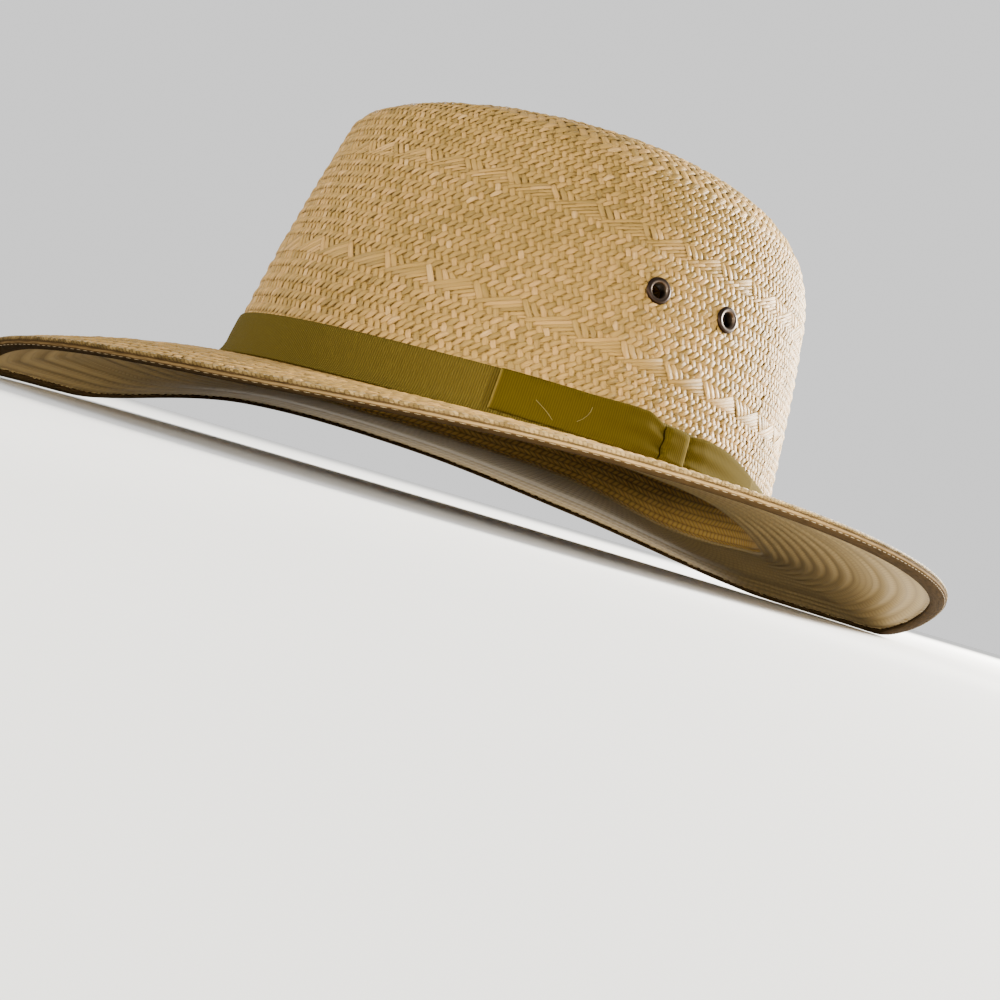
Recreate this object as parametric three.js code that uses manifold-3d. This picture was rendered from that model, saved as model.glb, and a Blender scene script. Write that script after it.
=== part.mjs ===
// A woven straw hat: a low crown with an almost flat top, a brim that falls at the front and the rear,
// a ribbon with a flat side bow round the foot of the crown, and rolled metal vent eyelets.
//
// Lengths are millimetres. The hat is worked out in its own frame: +Z up the crown, the wearer's front
// at -Y, the wearer's left at +X, and z = 0 where the crown meets the brim at the front. A place round
// the hat is a turn in degrees: 0 front, 90 the wearer's left, 180 rear, 270 the wearer's right. The
// last group nods the hat a little so that it stands on its brim, on the surface z = 0.

import * as THREE from "three";
import Module from "manifold-3d";
import { mergeVertices } from "three/addons/utils/BufferGeometryUtils.js";

// ---- Driving dimensions ----------------------------------------------------------------------

const HEAD = { halfWidth: 84, halfLength: 100 }; // outside oval at the foot of the crown
const SHOULDER = { halfWidth: 69, halfLength: 85, shift: 6.4 }; // oval where wall and top would meet
const CROWN_HEIGHT = { front: 91.2, side: 99.8, rear: 98.4 };
const SHOULDER_BEND = { mean: 19.3, rearGain: 15.4, least: 4 }; // length of the rounding each way
const CROWN_DOME = 3.7; // rise of the middle of the top
const WALL_BULGE = 1.3;

const BRIM_WIDTH = { front: 74, side: 75, rear: 61 };
const BRIM_FALL_POWER = 1.2; // above 1 the brim falls mostly near the rim
const BRIM_LIFT = { mean: 0.93, frontGain: 0.83 }; // upward curve of the brim's middle
const ROOT_BEND = 6; // length of the rounding between wall and brim

const STRAW = { crown: 2, brim: 1.6 }; // wall thickness
const HEM = { width: 6.2, thickness: 1.3, edge: 1.5 }; // folded-under layer and its rounded edge
const RIM_EDGE = { upper: 0.3, lower: 0.7 }; // the brim's edge narrows to between these shares of its wall
const GAP = 0.3; // between pieces that touch
const CROWN_FOOT = 7.4; // the crown's shell ends this far above the root, under the ribbon

const RIBBON = { foot: 1.1, height: 14.4, thickness: 1 };
const BOW_LOOP = { thickness: 1.3 };
const BOW_SECTION = {
  shares: [0, 0.15, 0.5, 0.85, 1], // lines across a bow piece
  edge: 0.45, // thickness of its two long edges over its full thickness
  end: 0.7, // the same at its two ends
};
const EYELET = { hole: 2.3, barrel: 2.9, flange: 4.2, flangeRise: 1.0, splay: 3.7, splayRise: 0.8 };
const EYELET_ROLL = {
  corner: 0.3, // rounding of the splayed end
  lip: 0.35, // how far the roll's inner shoulder stands off the hole
  outerRise: 0.4, // height of the roll's outer shoulder over its full rise
  innerRise: 0.8, // height of its inner shoulder
};
const EYELET_CLEARANCE = 0.3;
const EYELET_TAIL = 0.15; // how far the barrel passes the clearance inside the crown

const REST = {
  nod: 0.38, // degrees, front down is negative
  settle: 3, // how much of the rim's lowest stretches lies level on the surface
  softness: 0.6, // rounding where a level stretch begins
  rearHang: 0.16, // the hem hangs this much lower at the rear and higher at the front, for its slope
  flat: 0.45, // depth of the flat on the hem's edge
};

// One row for each twelfth of a turn: the height of the rim and of the root, where crown meets brim.
const SECTIONS = [
  { turn: 0, rim: -27.6, root: 0 },
  { turn: 30, rim: -15.0, root: 0 },
  { turn: 60, rim: -8.8, root: 0 },
  { turn: 90, rim: -2.9, root: 0.5 },
  { turn: 120, rim: -4.0, root: -2 },
  { turn: 150, rim: -12.8, root: -11 },
  { turn: 180, rim: -30.0, root: -12 },
  { turn: 210, rim: -25.8, root: -11 },
  { turn: 240, rim: -15.0, root: -2 },
  { turn: 270, rim: -6.2, root: 0.5 },
  { turn: 300, rim: -7.7, root: 0 },
  { turn: 330, rim: -25.2, root: 0 },
];

// The bow's two loops: upper and lower edge above the root, and how far each stands off the crown.
const LEFT_WING = [
  { turn: 76.2, top: 15.4, bottom: 2.2, lift: 1.75 },
  { turn: 84, top: 15.4, bottom: 1.6, lift: 1.85 },
  { turn: 92, top: 15.6, bottom: 1.4, lift: 2.15 },
  { turn: 99, top: 16.4, bottom: 1.4, lift: 2.55 },
  { turn: 103, top: 16.6, bottom: 1.8, lift: 2.75 },
  { turn: 106.4, top: 14.2, bottom: 2.6, lift: 2.35 },
];
const RIGHT_WING = [
  { turn: 112.6, top: 14.2, bottom: 2.6, lift: 2.35 },
  { turn: 116, top: 15.4, bottom: 1.8, lift: 2.75 },
  { turn: 122, top: 15.6, bottom: 1.4, lift: 2.35 },
  { turn: 128, top: 15.2, bottom: 1.4, lift: 1.95 },
  { turn: 133.6, top: 14.4, bottom: 2.4, lift: 1.75 },
];
const KNOT = [
  { turn: 106.8, top: 14.4, bottom: 2.2, lift: 1.75 },
  { turn: 109.5, top: 14.8, bottom: 1.8, lift: 1.75 },
  { turn: 112.2, top: 14.4, bottom: 2.2, lift: 1.75 },
];
const KNOT_THICKNESS = 2.6;

// Middles of the vent eyelets on the crown's wall, above z = 0.
const EYELETS = [
  { name: "eyelet_left_front", turn: 98.8, height: 52.8 },
  { name: "eyelet_left_rear", turn: 115.5, height: 52.5 },
  { name: "eyelet_right_rear", turn: 244.5, height: 52.5 },
  { name: "eyelet_right_front", turn: 261.2, height: 52.8 },
];

// Fineness of the faceted solids.
const TURN_STEPS = 60;
const TOP_STEPS = 5;
const SHOULDER_STEPS = 4;
const WALL_STEPS = 5;
const ROOT_STEPS = 3;
const BRIM_STEPS = 5;
const EYELET_SIDES = 12;
const BOW_STEP = 3; // degrees
const HOLE_DEPTH = 20; // length of the cutter for an eyelet hole

const FINISH = {
  straw: { color: 0xd9bd86, roughness: 0.62, metalness: 0 },
  ribbon: { color: 0x84731c, roughness: 0.55, metalness: 0 },
  metal: { color: 0x7a6346, roughness: 0.35, metalness: 1 },
};

// ---- The hat's surface -----------------------------------------------------------------------

const radians = THREE.MathUtils.degToRad;

/** A point of an oval at a turn, in the XY plane. */
function oval(turn, halfWidth, halfLength, shift = 0) {
  const angle = radians(turn);
  return new THREE.Vector2(halfWidth * Math.sin(angle), shift - halfLength * Math.cos(angle));
}

/** A column of SECTIONS as a smooth closed function of the turn. */
function column(name) {
  const knots = SECTIONS.map((row) => new THREE.Vector3(row[name], 0, 0));
  const curve = new THREE.CatmullRomCurve3(knots, true, "catmullrom", 0.5);
  return (turn) => curve.getPoint((((turn % 360) + 360) % 360) / 360).x;
}

const rootHeight = column("root");
const freeRimHeight = column("rim");

/** Height at which the wall and the top would meet in a sharp corner. */
function shoulderHeight(turn) {
  const c = Math.cos(radians(turn));
  const { front, side, rear } = CROWN_HEIGHT;
  return side + ((front - rear) / 2) * c + ((front + rear) / 2 - side) * c * c;
}

/** A point of the crown's wall at a height. */
function wallPoint(turn, height) {
  const share = height / shoulderHeight(turn);
  const foot = oval(turn, HEAD.halfWidth, HEAD.halfLength);
  const shoulder = oval(turn, SHOULDER.halfWidth, SHOULDER.halfLength, SHOULDER.shift);
  const outward = foot.clone().normalize().multiplyScalar(WALL_BULGE * 4 * share * (1 - share));
  const flat = foot.lerp(shoulder, share).add(outward);
  return new THREE.Vector3(flat.x, flat.y, height);
}

/** A point of the crown's top: reach 0 is its middle, 1 the sharp corner. */
function topPoint(turn, reach) {
  const { front, side, rear } = CROWN_HEIGHT;
  const meanHeight = (side + (front + rear) / 2) / 2;
  const flat = oval(turn, SHOULDER.halfWidth, SHOULDER.halfLength).multiplyScalar(reach);
  const square = reach * reach;
  const height = meanHeight + (shoulderHeight(turn) - meanHeight) * square + CROWN_DOME * (1 - square);
  return new THREE.Vector3(flat.x, flat.y + SHOULDER.shift, height);
}

const restPose = new THREE.Matrix4().makeRotationX(radians(REST.nod));

/** The rim's outline and free height, before it bears on the surface. */
function freeRimPoint(turn) {
  const halfLength = HEAD.halfLength + (BRIM_WIDTH.front + BRIM_WIDTH.rear) / 2;
  const shift = (BRIM_WIDTH.rear - BRIM_WIDTH.front) / 2;
  const flat = oval(turn, HEAD.halfWidth + BRIM_WIDTH.side, halfLength, shift);
  return new THREE.Vector3(flat.x, flat.y, freeRimHeight(turn));
}

/** Height of a point of the hat's frame once the hat is nodded to its rest. */
function restingHeight(point) {
  return point.clone().applyMatrix4(restPose).z;
}

const turnsOfRim = Array.from({ length: TURN_STEPS }, (_, step) => (360 * step) / TURN_STEPS);
const lowestFreeRim = Math.min(...turnsOfRim.map((turn) => restingHeight(freeRimPoint(turn))));
const bearingRimHeight = lowestFreeRim + REST.settle;

/** The rim as it rests: its lowest stretches, front and rear, lie level on the surface. */
function rimPoint(turn) {
  const point = freeRimPoint(turn);
  const bearing = bearingRimHeight - REST.rearHang * Math.cos(radians(turn));
  const above = restingHeight(point) - bearing;
  const lifted = (above + Math.hypot(above, REST.softness)) / 2;
  point.z += lifted - above;
  return point;
}

/** A point of the brim: reach 0 is the sharp root, 1 the rim. */
function brimPoint(turn, reach) {
  const root = wallPoint(turn, rootHeight(turn));
  const rim = rimPoint(turn);
  const curve = (BRIM_LIFT.mean + BRIM_LIFT.frontGain * Math.cos(radians(turn))) * 4 * reach * (1 - reach);
  const height = root.z + (rim.z - root.z) * reach ** BRIM_FALL_POWER + curve;
  const point = root.lerp(rim, reach);
  point.z = height;
  return point;
}

/** A point of the bend from one curve to another round a sharp corner. */
function bend(start, corner, end, share) {
  const first = start.clone().multiplyScalar((1 - share) ** 2);
  return first.addScaledVector(corner, 2 * share * (1 - share)).addScaledVector(end, share ** 2);
}

/** Where each stretch of the straw surface begins and ends at a turn. */
function stretches(turn) {
  const { mean, rearGain, least } = SHOULDER_BEND;
  const shoulderBend = Math.max(mean - rearGain * Math.cos(radians(turn)), least);
  const corner = oval(turn, SHOULDER.halfWidth, SHOULDER.halfLength);
  const width = brimPoint(turn, 1).distanceTo(brimPoint(turn, 0));
  return {
    topReach: 1 - shoulderBend / corner.length(),
    wallTop: shoulderHeight(turn) - shoulderBend,
    wallFoot: rootHeight(turn) + ROOT_BEND,
    brimReach: ROOT_BEND / width,
  };
}

/**
 * A point of the straw's outer surface. The station runs from the middle of the top to the rim: top
 * 0 to 1, shoulder 1 to 2, wall 2 to 3, root 3 to 4, brim 4 to 5.
 */
function strawPoint(turn, station) {
  const ends = stretches(turn);
  if (station <= 1) {
    return topPoint(turn, station * ends.topReach);
  }
  if (station <= 2) {
    const corner = topPoint(turn, 1);
    return bend(topPoint(turn, ends.topReach), corner, wallPoint(turn, ends.wallTop), station - 1);
  }
  if (station <= 3) {
    return wallPoint(turn, THREE.MathUtils.lerp(ends.wallTop, ends.wallFoot, station - 2));
  }
  if (station <= 4) {
    const corner = brimPoint(turn, 0);
    return bend(wallPoint(turn, ends.wallFoot), corner, brimPoint(turn, ends.brimReach), station - 3);
  }
  return brimPoint(turn, THREE.MathUtils.lerp(ends.brimReach, 1, station - 4));
}

/** The station of a height above the root, on the wall or in the root bend. */
function stationAbove(turn, rise) {
  if (rise < ROOT_BEND) {
    return 4 - Math.sqrt(rise / ROOT_BEND);
  }
  const { wallTop, wallFoot } = stretches(turn);
  return 2 + (wallTop - rootHeight(turn) - rise) / (wallTop - wallFoot);
}

const NORMAL_STEP = 0.01; // in stations and degrees, for slopes of the surface

/** The surface's outward direction. */
function strawNormal(turn, station) {
  if (station === 0) {
    return new THREE.Vector3(0, 0, 1);
  }
  const step = NORMAL_STEP;
  const along = strawPoint(turn, station + step).sub(strawPoint(turn, station - step));
  const across = strawPoint(turn + step, station).sub(strawPoint(turn - step, station));
  return along.cross(across).normalize();
}

/** A point off the straw's outer surface: outward is positive. */
function offsetPoint(turn, station, offset) {
  return strawPoint(turn, station).addScaledVector(strawNormal(turn, station), offset);
}

/** A run of stations from one to another in equal steps. */
function run(from, to, steps) {
  return Array.from({ length: steps + 1 }, (_, step) => from + ((to - from) * step) / steps);
}

// ---- Solids ----------------------------------------------------------------------------------

const SAME_POINT = 1e-6; // points nearer than this are one
const WELD = 1e-4; // vertices nearer than this are joined

/** A closed geometry from triangles given as triples of points, without the empty ones. */
function solidFrom(triangles) {
  const positions = [];
  for (const corners of triangles) {
    const [a, b, c] = corners;
    if (a.distanceTo(b) > SAME_POINT && b.distanceTo(c) > SAME_POINT && c.distanceTo(a) > SAME_POINT) {
      positions.push(...corners.flatMap((corner) => corner.toArray()));
    }
  }
  const geometry = new THREE.BufferGeometry();
  geometry.setAttribute("position", new THREE.Float32BufferAttribute(positions, 3));
  return mergeVertices(geometry, WELD);
}

/** The two triangles of a four-cornered face. */
function quad(a, b, c, d) {
  return [[a, b, c], [a, c, d]];
}

/**
 * A wall between two skins. Each section is { outer, inner }, two lists of points of one length that
 * run the same way; the sections follow one another by turn, all the way round where closed is true.
 */
function wallSolid(sections, closed) {
  const triangles = [];
  const last = sections[0].outer.length - 1;
  const pairs = closed ? sections.length : sections.length - 1;
  for (let index = 0; index < pairs; index += 1) {
    const here = sections[index];
    const next = sections[(index + 1) % sections.length];
    for (let k = 0; k < last; k += 1) {
      triangles.push(...quad(here.outer[k], here.outer[k + 1], next.outer[k + 1], next.outer[k]));
      triangles.push(...quad(here.inner[k], next.inner[k], next.inner[k + 1], here.inner[k + 1]));
    }
    triangles.push(...quad(here.outer[last], here.inner[last], next.inner[last], next.outer[last]));
    const onAxis = here.outer[0].distanceTo(next.outer[0]) < SAME_POINT;
    if (!onAxis) {
      triangles.push(...quad(here.outer[0], next.outer[0], next.inner[0], here.inner[0]));
    }
  }
  if (!closed) {
    const first = sections[0];
    const end = sections[sections.length - 1];
    for (let k = 0; k < last; k += 1) {
      triangles.push(...quad(first.outer[k], first.inner[k], first.inner[k + 1], first.outer[k + 1]));
      triangles.push(...quad(end.outer[k], end.outer[k + 1], end.inner[k + 1], end.inner[k]));
    }
  }
  return solidFrom(triangles);
}

/** A full ring whose rails give the station and the two offsets of each line round the hat. */
function ringSolid(rails) {
  const sections = turnsOfRim.map((turn) => {
    const lines = rails(turn);
    return {
      outer: lines.map((line) => offsetPoint(turn, line.station, line.outer)),
      inner: lines.map((line) => offsetPoint(turn, line.station, line.inner)),
    };
  });
  return wallSolid(sections, true);
}

/** The crown's shell, from the middle of the top to its foot under the ribbon. */
function crownShell() {
  return ringSolid((turn) => {
    const foot = stationAbove(turn, CROWN_FOOT);
    const top = run(0, 1, TOP_STEPS);
    const shoulder = run(1, 2, SHOULDER_STEPS).slice(1);
    const wall = run(2, foot, WALL_STEPS).slice(1);
    return [...top, ...shoulder, ...wall].map((station) => ({ station, outer: 0, inner: -STRAW.crown }));
  });
}

/** The brim with the turned root that carries the crown. */
function brimRing() {
  return ringSolid((turn) => {
    const root = [stationAbove(turn, CROWN_FOOT - GAP), ...run(3, 4, ROOT_STEPS)];
    const brim = run(4, 5, BRIM_STEPS).slice(1, -1);
    const edge = 5 - STRAW.brim / 2 / BRIM_WIDTH.side;
    const lines = [...root, ...brim, edge].map((station) => ({ station, outer: 0, inner: -STRAW.brim }));
    lines.push({ station: 5, outer: -RIM_EDGE.upper * STRAW.brim, inner: -RIM_EDGE.lower * STRAW.brim });
    return lines;
  });
}

/** The layer folded under the rim; where it bears on the surface its edge is flat. */
function hemRing() {
  const upper = -STRAW.brim - GAP;
  const lower = upper - HEM.thickness;
  const inner = 5 - HEM.width / BRIM_WIDTH.side;
  const edge = 5 - HEM.edge / BRIM_WIDTH.side;
  const geometry = ringSolid(() => [
    { station: inner, outer: upper, inner: lower },
    { station: edge, outer: upper, inner: lower },
    { station: 5, outer: upper, inner: upper - HEM.thickness / 2 },
  ]);
  flattenFoot(geometry);
  return geometry;
}

/** Sets the lowest vertices of a geometry level at the surface that the resting hat stands on. */
function flattenFoot(geometry) {
  const position = geometry.getAttribute("position");
  const back = restPose.clone().invert();
  const vertex = new THREE.Vector3();
  for (let index = 0; index < position.count; index += 1) {
    vertex.fromBufferAttribute(position, index).applyMatrix4(restPose);
    if (vertex.z < surfaceHeight) {
      vertex.z = surfaceHeight;
      vertex.applyMatrix4(back);
      position.setXYZ(index, vertex.x, vertex.y, vertex.z);
    }
  }
}

/** Height, in the nodded frame, of the surface that the hat stands on. */
function findSurfaceHeight() {
  const lower = -STRAW.brim - GAP - HEM.thickness;
  const edge = 5 - HEM.edge / BRIM_WIDTH.side;
  const heights = turnsOfRim.map((turn) => restingHeight(offsetPoint(turn, edge, lower)));
  return Math.min(...heights) + REST.flat;
}

const surfaceHeight = findSurfaceHeight();

/** The ribbon round the foot of the crown. */
function ribbonRing() {
  const inner = GAP;
  const outer = GAP + RIBBON.thickness;
  return ringSolid((turn) => {
    const top = stationAbove(turn, RIBBON.foot + RIBBON.height);
    const foot = stationAbove(turn, RIBBON.foot);
    const stations = [top, 3, 3 + 1 / ROOT_STEPS, foot];
    return stations.map((station) => ({ station, outer, inner }));
  });
}

/** The rows of a table with others worked out between them, at most BOW_STEP degrees apart. */
function fillRows(rows) {
  const filled = [rows[0]];
  for (let index = 1; index < rows.length; index += 1) {
    const [from, to] = [rows[index - 1], rows[index]];
    const steps = Math.ceil((to.turn - from.turn) / BOW_STEP);
    for (const share of run(0, 1, steps).slice(1)) {
      const mix = (name) => THREE.MathUtils.lerp(from[name], to[name], share);
      filled.push({ turn: mix("turn"), top: mix("top"), bottom: mix("bottom"), lift: mix("lift") });
    }
  }
  return filled;
}

/** A piece of the bow lofted through its rows, standing off the crown. */
function bowPiece(table, thickness) {
  const rows = fillRows(table);
  const sections = rows.map((row, index) => {
    const atEnd = index === 0 || index === rows.length - 1;
    const full = atEnd ? thickness * BOW_SECTION.end : thickness;
    const lines = BOW_SECTION.shares.map((share) => {
      const station = stationAbove(row.turn, THREE.MathUtils.lerp(row.top, row.bottom, share));
      const thick = share === 0 || share === 1 ? full * BOW_SECTION.edge : full;
      return { station, thick };
    });
    return {
      outer: lines.map((line) => offsetPoint(row.turn, line.station, row.lift + line.thick)),
      inner: lines.map((line) => offsetPoint(row.turn, line.station, row.lift)),
    };
  });
  return wallSolid(sections, false);
}

/** A rolled eyelet along Z: its flange stands on z = 0 and its splay holds the wall's inner face. */
function eyeletRing() {
  const seat = EYELET_CLEARANCE;
  const inside = -STRAW.crown - EYELET_CLEARANCE - EYELET_TAIL;
  const middle = (EYELET.hole + EYELET.flange) / 2;
  const profile = [
    [EYELET.hole, inside],
    [EYELET.hole + EYELET_ROLL.corner, inside - EYELET.splayRise],
    [EYELET.splay - EYELET_ROLL.corner, inside - EYELET.splayRise],
    [EYELET.splay, inside],
    [EYELET.barrel, inside],
    [EYELET.barrel, seat],
    [EYELET.flange, seat],
    [EYELET.flange, seat + EYELET.flangeRise * EYELET_ROLL.outerRise],
    [middle, seat + EYELET.flangeRise],
    [EYELET.hole + EYELET_ROLL.lip, seat + EYELET.flangeRise * EYELET_ROLL.innerRise],
    [EYELET.hole, seat],
    [EYELET.hole, inside],
  ].map(([radius, height]) => new THREE.Vector2(radius, height));
  const geometry = new THREE.LatheGeometry(profile, EYELET_SIDES);
  geometry.rotateX(Math.PI / 2);
  return closeLathe(geometry);
}

/** Drops what only shading needs, so that the lathe's seam closes. */
function closeLathe(geometry) {
  geometry.deleteAttribute("normal");
  geometry.deleteAttribute("uv");
  return mergeVertices(geometry, WELD);
}

/** Puts an object at an eyelet's place with its Z pointing out of the crown. */
function placeOnWall(object, eyelet) {
  const station = stationAbove(eyelet.turn, eyelet.height - rootHeight(eyelet.turn));
  object.position.copy(strawPoint(eyelet.turn, station));
  const outward = strawNormal(eyelet.turn, station);
  object.quaternion.setFromUnitVectors(new THREE.Vector3(0, 0, 1), outward);
  object.updateMatrix();
}

// ---- Cutting the eyelet holes ----------------------------------------------------------------

const wasm = await Module();
wasm.setup();

/** A manifold solid of a closed three.js geometry. */
function toManifold(geometry) {
  const merged = closeLathe(geometry.index ? geometry : geometry.clone());
  return new wasm.Manifold(
    new wasm.Mesh({
      numProp: 3,
      vertProperties: new Float32Array(merged.getAttribute("position").array),
      triVerts: new Uint32Array(merged.index.array),
    }),
  );
}

/** The three.js geometry of a manifold solid. */
function toGeometry(solid) {
  const mesh = solid.getMesh();
  const geometry = new THREE.BufferGeometry();
  geometry.setAttribute("position", new THREE.Float32BufferAttribute(mesh.vertProperties, 3));
  geometry.setIndex(new THREE.Uint32BufferAttribute(mesh.triVerts, 1));
  return geometry;
}

/** The crown's shell with a round hole for each eyelet. */
function piercedCrown() {
  let solid = toManifold(crownShell());
  for (const eyelet of EYELETS) {
    const radius = EYELET.barrel + EYELET_CLEARANCE;
    const cutter = new THREE.CylinderGeometry(radius, radius, HOLE_DEPTH, EYELET_SIDES);
    cutter.rotateX(Math.PI / 2);
    const place = new THREE.Object3D();
    placeOnWall(place, eyelet);
    cutter.applyMatrix4(place.matrix);
    solid = solid.subtract(toManifold(cutter));
  }
  return toGeometry(solid);
}

// ---- The assembly ----------------------------------------------------------------------------

/** A named mesh in one of the finishes. */
function piece(name, geometry, finish) {
  geometry.computeVertexNormals();
  const mesh = new THREE.Mesh(geometry, new THREE.MeshStandardMaterial(finish));
  mesh.name = name;
  return mesh;
}

/** The hat in its own frame. */
function buildHat() {
  const hat = new THREE.Group();
  hat.add(piece("crown", piercedCrown(), FINISH.straw));
  hat.add(piece("brim", brimRing(), FINISH.straw));
  hat.add(piece("brim_hem", hemRing(), FINISH.straw));
  hat.add(piece("ribbon_band", ribbonRing(), FINISH.ribbon));
  hat.add(piece("bow_left_wing", bowPiece(LEFT_WING, BOW_LOOP.thickness), FINISH.ribbon));
  hat.add(piece("bow_right_wing", bowPiece(RIGHT_WING, BOW_LOOP.thickness), FINISH.ribbon));
  hat.add(piece("bow_knot", bowPiece(KNOT, KNOT_THICKNESS), FINISH.ribbon));
  for (const eyelet of EYELETS) {
    const ring = piece(eyelet.name, eyeletRing(), FINISH.metal);
    placeOnWall(ring, eyelet);
    hat.add(ring);
  }
  return hat;
}

const hat = buildHat();
hat.rotation.x = radians(REST.nod);

// The origin is on the surface, under the middle of the hat's outline.
const footprint = new THREE.Box3().setFromObject(hat, true);
hat.position.x = -(footprint.min.x + footprint.max.x) / 2;
hat.position.y = -(footprint.min.y + footprint.max.y) / 2;
hat.position.z = -surfaceHeight;

export default hat;
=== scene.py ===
"""Looks of a woven straw hat with a ribbon band, a flat bow and vent eyelets.

The hat's shape is worked out in millimetres in its own frame: the wearer's front is -Y, the bow side +X and
up +Z. It is then nodded and moved to where the CAD part rests, in metres.

A turn is in degrees round the hat from the front, and grows towards the bow. A station counts the stretches
of the outer surface from the middle of the crown: top 0 to 1, shoulder 1 to 2, wall 2 to 3, root 3 to 4 and
brim 4 to 5. A depth counts what the weave is laid out by: the crown's middle 0, its upper fancy ring 1, the
lower one 2, the brim's root 3 and the rim 4. A lift is a distance from the outer surface, outward positive.
"""

import logging
import math
from collections.abc import Mapping
from dataclasses import dataclass, field
from enum import Enum

import bpy
import numpy as np
from mathutils import Matrix, Vector

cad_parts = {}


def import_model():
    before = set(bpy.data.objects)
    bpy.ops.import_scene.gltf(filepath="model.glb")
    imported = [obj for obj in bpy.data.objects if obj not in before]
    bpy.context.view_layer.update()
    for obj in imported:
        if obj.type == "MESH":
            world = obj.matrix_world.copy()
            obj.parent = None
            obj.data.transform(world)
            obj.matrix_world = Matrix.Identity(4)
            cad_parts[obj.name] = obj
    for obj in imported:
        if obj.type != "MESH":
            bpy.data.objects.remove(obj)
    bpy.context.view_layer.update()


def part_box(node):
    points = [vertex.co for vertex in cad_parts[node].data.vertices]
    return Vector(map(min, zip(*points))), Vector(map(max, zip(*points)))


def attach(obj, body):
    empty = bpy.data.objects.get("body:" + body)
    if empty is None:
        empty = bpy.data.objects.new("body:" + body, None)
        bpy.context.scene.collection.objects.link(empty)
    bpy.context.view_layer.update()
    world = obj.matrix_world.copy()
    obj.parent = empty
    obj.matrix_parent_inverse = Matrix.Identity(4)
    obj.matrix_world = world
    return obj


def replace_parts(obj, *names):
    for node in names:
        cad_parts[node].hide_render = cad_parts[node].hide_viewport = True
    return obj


METRE = 0.001  # a millimetre, in metres
FULL_TURN = 360.0  # degrees
RIM_STATION = 5.0
UPPER_RING_DEPTH = 1.0
LOWER_RING_DEPTH = 2.0
RIM_DEPTH = 4.0
FLOOR = 0.0  # height of the floor
LOG = logging.getLogger("straw_hat")


class Lean(Enum):
    """Which way a family of strands climbs the hat, seen from outside."""

    RIGHT = 1
    LEFT = -1


class Side(Enum):
    """The face of the straw that a float lies on."""

    OUTER = 1
    UNDER = -1


# ---- The hat's shape ---------------------------------------------------------------------------------


def even_turns(count: int) -> np.ndarray:
    """Turns at equal steps round the hat, the first of them 0."""
    return np.arange(count) * FULL_TURN / count


def closed_curve(values: tuple[float, ...], turns: np.ndarray) -> np.ndarray:
    """Smooth closed curve through equally spaced values.

    Args:
        values: The curve's values, the first of them at turn 0.
        turns: Turns at which it is wanted, in degrees.

    Returns:
        The curve's value at each turn.
    """
    knots = np.asarray(values, float)
    place = (np.asarray(turns) % FULL_TURN) / FULL_TURN * len(knots)
    index = np.floor(place).astype(int)
    u = place - index
    a, b, c, d = (knots[(index + step) % len(knots)] for step in (-1, 0, 1, 2))
    return 0.5 * (2 * b + (c - a) * u + (2 * a - 5 * b + 4 * c - d) * u**2 + (3 * b - a - 3 * c + d) * u**3)


def oval(turns: np.ndarray, half_width: float, half_length: float, shift: float = 0.0) -> np.ndarray:
    """Points of an oval in the XY plane, from its half sizes and its shift along Y."""
    angle = np.radians(turns)
    return np.stack([half_width * np.sin(angle), shift - half_length * np.cos(angle)], axis=-1)


def unit(vectors: np.ndarray) -> np.ndarray:
    """Vectors of the same directions at length 1."""
    least_length = 1e-12  # keeps a vector of no length from dividing by nought
    return vectors / np.maximum(np.linalg.norm(vectors, axis=-1, keepdims=True), least_length)


def directions_round(first: np.ndarray, second: np.ndarray, angles: np.ndarray) -> np.ndarray:
    """Directions round a line, swung from one that lies across it towards another.

    Args:
        first: The direction at angle 0, for each point of the line.
        second: The direction at a quarter turn.
        angles: Angles in radians.

    Returns:
        Directions, with the angles on the last axis but one.
    """
    return first[..., None, :] * np.cos(angles)[:, None] + second[..., None, :] * np.sin(angles)[:, None]


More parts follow.
